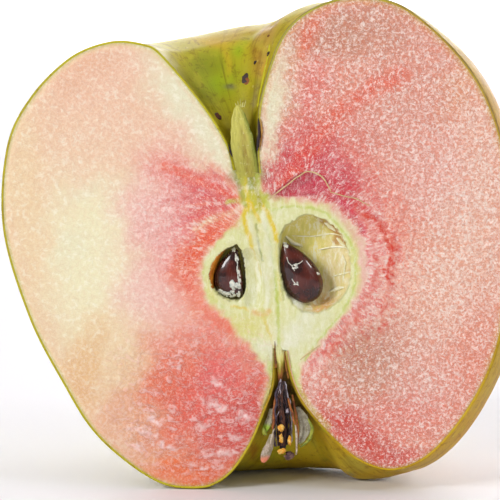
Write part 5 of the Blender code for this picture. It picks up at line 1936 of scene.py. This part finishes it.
def build_styles():
    """The bundle of dry styles with a pale bead on it."""
    shades = {
        "style_fibres_dark": mottled_material("style_dark", "34202A", "180E12", 0.5, 1.8),
        "style_fibres_brown": mottled_material("style_brown", "5C3420", "2C1410", 0.55, 1.8),
        "style_fibres_purple": mottled_material("style_purple", "584A5C", "281C2A", 0.35, 2.2),
        "style_fibres_pale": mottled_material("style_pale", "B8B4BE", "7A6A74", 0.4, 2.2),
    }
    kinds = ("dark", "brown", "dark", "purple", "brown", "dark", "brown", "pale", "dark")
    lines = {name: [] for name in shades}
    draw = random.Random(11)
    for index in range(STYLE_FIBRES):
        turn = 2.4 * index
        offset = draw.uniform(0.1, 1.25)
        thickness = draw.uniform(0.06, 0.17)
        kind = "style_fibres_" + kinds[index % len(kinds)]
        reach = draw.uniform(0.72, 1.0)
        rows = [
            (x + math.cos(turn) * r * offset * 1.6, max(y - 0.45 + math.sin(turn) * r * offset, 0.02), z,
             thickness * (1.0 if kind != "style_fibres_pale" else 0.7))
            for x, y, z, r in smooth_line(STYLES, 8)[: 3 + int(6 * reach)]
        ]
        lines[kind].append(wavy_line(rows, 40, 0.5, index * 2.9))
    lines["style_fibres_dark"].append(smooth_line([(x, y + 0.2, z, r * 0.9) for x, y, z, r in STYLES], 30))
    lines["style_fibres_pale"].append(wavy_line(PALE_STYLE, 18, 0.25, 8.0))
    for name, group in lines.items():
        nodes = ["style_bundle"] if name == "style_fibres_dark" else []
        settle(build_threads(name, group, shades[name]), "dry_flower", *nodes)
    pale = shades["style_fibres_pale"]
    settle(blob("pale_bead", (0.15, 0.05, -24.6), (0.22, 0.15, 0.28), pale, 3.0, 0.5), "dry_flower")


def build_filaments():
    """The dry filaments beside the styles, and two pale hairy ones."""
    thread = mottled_material("filament", "B0682A", "6E3412", 0.5, 1.5)
    for index, (name, rows) in enumerate(FILAMENTS.items()):
        line = wavy_line(rows, 24, 0.12, index * 4.4)
        settle(build_threads(name + "_thread", [line], thread), "thread", name)
    pale = mottled_material("hairy_thread", "CFC2AE", "93806C", 0.7, 2.4)
    for index, (name, rows) in enumerate(PALE_THREADS.items()):
        settle(build_threads(name, [wavy_line(rows, 18, 0.1, index * 6.1)], pale), "thread")


def build_anthers():
    """The pollen sacs: crystalline orange ones and a smoother dark one."""
    pollen = mottled_material("pollen_crystal", "EFA21C", "F6D070", 0.35, 3.0)
    maroon = mottled_material("anther_maroon", "3A1820", "8E6C5C", 0.5, 1.2)
    for index, (name, (centre, half_size, finish)) in enumerate(ANTHERS.items()):
        crystal = finish == "pollen"
        material, roughness = (pollen, 0.45) if crystal else (maroon, 0.3)
        sac = blob(name + "_sac", centre, half_size, material, index * 5.7, roughness, crystal)
        settle(sac, finish, name)


def build_sepals():
    """The woolly sepals with their bright edges."""
    green = mottled_material("sepal_edge", "A2A83A", "6E7E1C", 0.5, 1.5)
    right, left = SEPAL_EDGES
    edges = [wavy_line(right, 20, 0.1, 3.3), wavy_line(left, 10, 0.1, 1.3)]
    settle(build_threads("sepal_edges", edges, green), "sepal")
    hair = mottled_material("sepal_hair", "E6E2DA", "B8B0A4", 0.6, 3.0)
    woolly = {
        "sepal_left": sepal_material("sepal_left_leaf", "BEBCA6", "A6C63C", 0.0088, 0.0004),
        "sepal_right": sepal_material("sepal_right_leaf", "BDB9A2", "A8BC3C", 0.0064, 0.0003),
        "sepal_tip": sepal_material("sepal_tip_leaf", "B8A490", "E88A68", 0.0046, 0.0005),
    }
    for name, (rows, across) in SEPALS.items():
        build_sepal(name, rows, across, woolly[name], hair)


def build_calyx():
    """The dried flower in the pit."""
    build_tongue(bpy.context.scene.apple_half_flesh)
    build_styles()
    build_filaments()
    build_anthers()
    build_sepals()


def build_stage():
    """Pale seamless floor, soft light from the upper left, and the photograph's camera."""
    settings = bpy.context.scene.apple_half_stage
    paint = Paint("studio_floor")
    cloud = paint.noise(paint.place(), 0.004, 2.0)
    floor = tuple(settings.floor_colour)
    paper = paint.finish(Base_Color=paint.mix(cloud * 0.04, floor, (0.8, 0.78, 0.77)), Roughness=0.7)
    steps, width, bend, depth, height = 24, 4.0, 0.6, 1.6, 2.4
    profile = [(-1.2, 0.0), (depth, 0.0)]
    for step in range(1, steps + 1):
        turn = math.pi / 2 * step / steps
        profile.append((depth + bend * math.sin(turn), bend * (1 - math.cos(turn))))
    profile.append((depth + bend, height))
    mesh = bpy.data.meshes.new("studio_floor")
    points = [(side * width / 2, y, z) for y, z in profile for side in (-1, 1)]
    mesh.from_pydata(points, [], [(2 * i, 2 * i + 1, 2 * i + 3, 2 * i + 2) for i in range(len(profile) - 1)])
    mesh.materials.append(paper)
    mesh.shade_smooth()
    backdrop = bpy.data.objects.new("studio_floor", mesh)
    bpy.context.scene.collection.objects.link(backdrop)
    middle = (cad_lowest + cad_highest) / 2
    for name, place, aim, power, size, spread in (
        ("key_light", (-0.74, -0.78, 0.52), (0.0, 0.0, 0.0), settings.key_power, 0.36, 180),
        ("fill_light", (0.55, -0.95, 0.45), (0.0, 0.0, 0.0), settings.fill_power, 0.7, 180),
        ("top_light", (0.1, 0.3, 1.1), (0.0, 0.0, 0.0), settings.top_power, 0.9, 180),
        ("edge_light", (0.8, 0.3, 0.75), (0.0, 0.0, 0.0), settings.edge_power, 0.6, 180),
        ("strip_light", (0.84, -0.46, 0.74), (0.0, 0.0, 0.0), settings.strip_power, 0.22, 180),
        ("backdrop_light", (0.0, 0.9, 1.3), (0.0, 2.3, 0.3), settings.backdrop_power, 1.6, 70),
    ):
        data = bpy.data.lights.new(name, "AREA")
        data.energy = power
        data.size = size
        data.spread = math.radians(spread)
        lamp = bpy.data.objects.new(name, data)
        lamp.location = middle + Vector(place)
        lamp.rotation_euler = (Vector(aim) - Vector(place)).to_track_quat("-Z", "Y").to_euler()
        bpy.context.scene.collection.objects.link(lamp)
    world = bpy.data.worlds.new("studio")
    world.use_nodes = True
    sky = world.node_tree.nodes["Background"]
    sky.inputs["Color"].default_value = (1.0, 0.95, 0.90, 1.0)
    sky.inputs["Strength"].default_value = settings.sky
    bpy.context.scene.world = world
    bpy.context.scene.view_settings.view_transform = "Standard"
    lens = bpy.data.cameras.new("photo_camera")
    lens.lens = CAMERA_LENS
    camera = bpy.data.objects.new("photo_camera", lens)
    back = Vector((
        math.sin(CAMERA_SIDE) * math.cos(CAMERA_RISE),
        -math.cos(CAMERA_SIDE) * math.cos(CAMERA_RISE),
        math.sin(CAMERA_RISE),
    ))
    camera.location = CAMERA_TARGET + back * CAMERA_DISTANCE
    camera.rotation_euler = (-back).to_track_quat("-Z", "Y").to_euler()
    bpy.context.scene.collection.objects.link(camera)
    bpy.context.scene.camera = camera


class APPLE_HALF_OT_flesh(bpy.types.Operator):
    """Build the cut flesh with its core"""

    bl_idname = "apple_half.flesh"
    bl_label = "Flesh"

    def execute(self, context):
        build_flesh()
        return {"FINISHED"}


class APPLE_HALF_OT_skin(bpy.types.Operator):
    """Build the skin and the marks on it"""

    bl_idname = "apple_half.skin"
    bl_label = "Skin"

    def execute(self, context):
        build_blemishes(build_skin())
        return {"FINISHED"}


class APPLE_HALF_OT_stem(bpy.types.Operator):
    """Build the halved stem stub"""

    bl_idname = "apple_half.stem"
    bl_label = "Stem"

    def execute(self, context):
        build_stem()
        return {"FINISHED"}


class APPLE_HALF_OT_seeds(bpy.types.Operator):
    """Build the seeds and the crumbs on them"""

    bl_idname = "apple_half.seeds"
    bl_label = "Seeds"

    def execute(self, context):
        build_seeds()
        return {"FINISHED"}


class APPLE_HALF_OT_core_shreds(bpy.types.Operator):
    """Build the strands and torn membrane of the core"""

    bl_idname = "apple_half.core_shreds"
    bl_label = "Core Shreds"

    def execute(self, context):
        build_core_shreds()
        return {"FINISHED"}


class APPLE_HALF_OT_calyx(bpy.types.Operator):
    """Build the dried flower in the calyx pit"""

    bl_idname = "apple_half.calyx"
    bl_label = "Calyx"

    def execute(self, context):
        build_calyx()
        return {"FINISHED"}


class APPLE_HALF_OT_stage(bpy.types.Operator):
    """Set up the floor, the lights and the camera"""

    bl_idname = "apple_half.stage"
    bl_label = "Stage"

    def execute(self, context):
        build_stage()
        return {"FINISHED"}


OPERATORS = (
    APPLE_HALF_OT_flesh,
    APPLE_HALF_OT_skin,
    APPLE_HALF_OT_stem,
    APPLE_HALF_OT_seeds,
    APPLE_HALF_OT_core_shreds,
    APPLE_HALF_OT_calyx,
    APPLE_HALF_OT_stage,
)
GROUPS = {
    "apple_half_flesh": APPLE_HALF_PG_flesh,
    "apple_half_skin": APPLE_HALF_PG_skin,
    "apple_half_small": APPLE_HALF_PG_small,
    "apple_half_stage": APPLE_HALF_PG_stage,
}


class APPLE_HALF_PT_panel(bpy.types.Panel):
    """Lists the pieces of the apple half and their settings"""

    bl_label = "Apple Half"
    bl_idname = "APPLE_HALF_PT_panel"
    bl_space_type = "VIEW_3D"
    bl_region_type = "UI"
    bl_category = "Apple Half"

    def draw(self, context):
        for operator in OPERATORS:
            self.layout.operator(operator.bl_idname)
        for name, group in GROUPS.items():
            box = self.layout.box()
            box.label(text=group.__doc__)
            for setting in group.__annotations__:
                box.prop(getattr(context.scene, name), setting)


def register():
    """Add the settings, operators and panel to Blender."""
    for group in GROUPS.values():
        bpy.utils.register_class(group)
    for name, group in GROUPS.items():
        setattr(bpy.types.Scene, name, PointerProperty(type=group))
    for operator in OPERATORS:
        bpy.utils.register_class(operator)
    bpy.utils.register_class(APPLE_HALF_PT_panel)


def unregister():
    """Take them out of Blender again."""
    bpy.utils.unregister_class(APPLE_HALF_PT_panel)
    for operator in reversed(OPERATORS):
        bpy.utils.unregister_class(operator)
    for name, group in reversed(GROUPS.items()):
        delattr(bpy.types.Scene, name)
        bpy.utils.unregister_class(group)


def main():
    register()
    noise.seed_set(NOISE_SEED)
    bpy.ops.apple_half.stage()
    bpy.ops.apple_half.flesh()
    bpy.ops.apple_half.skin()
    bpy.ops.apple_half.stem()
    bpy.ops.apple_half.seeds()
    bpy.ops.apple_half.core_shreds()
    bpy.ops.apple_half.calyx()
    bpy.context.view_layer.update()


if __name__ == "__main__":
    main()
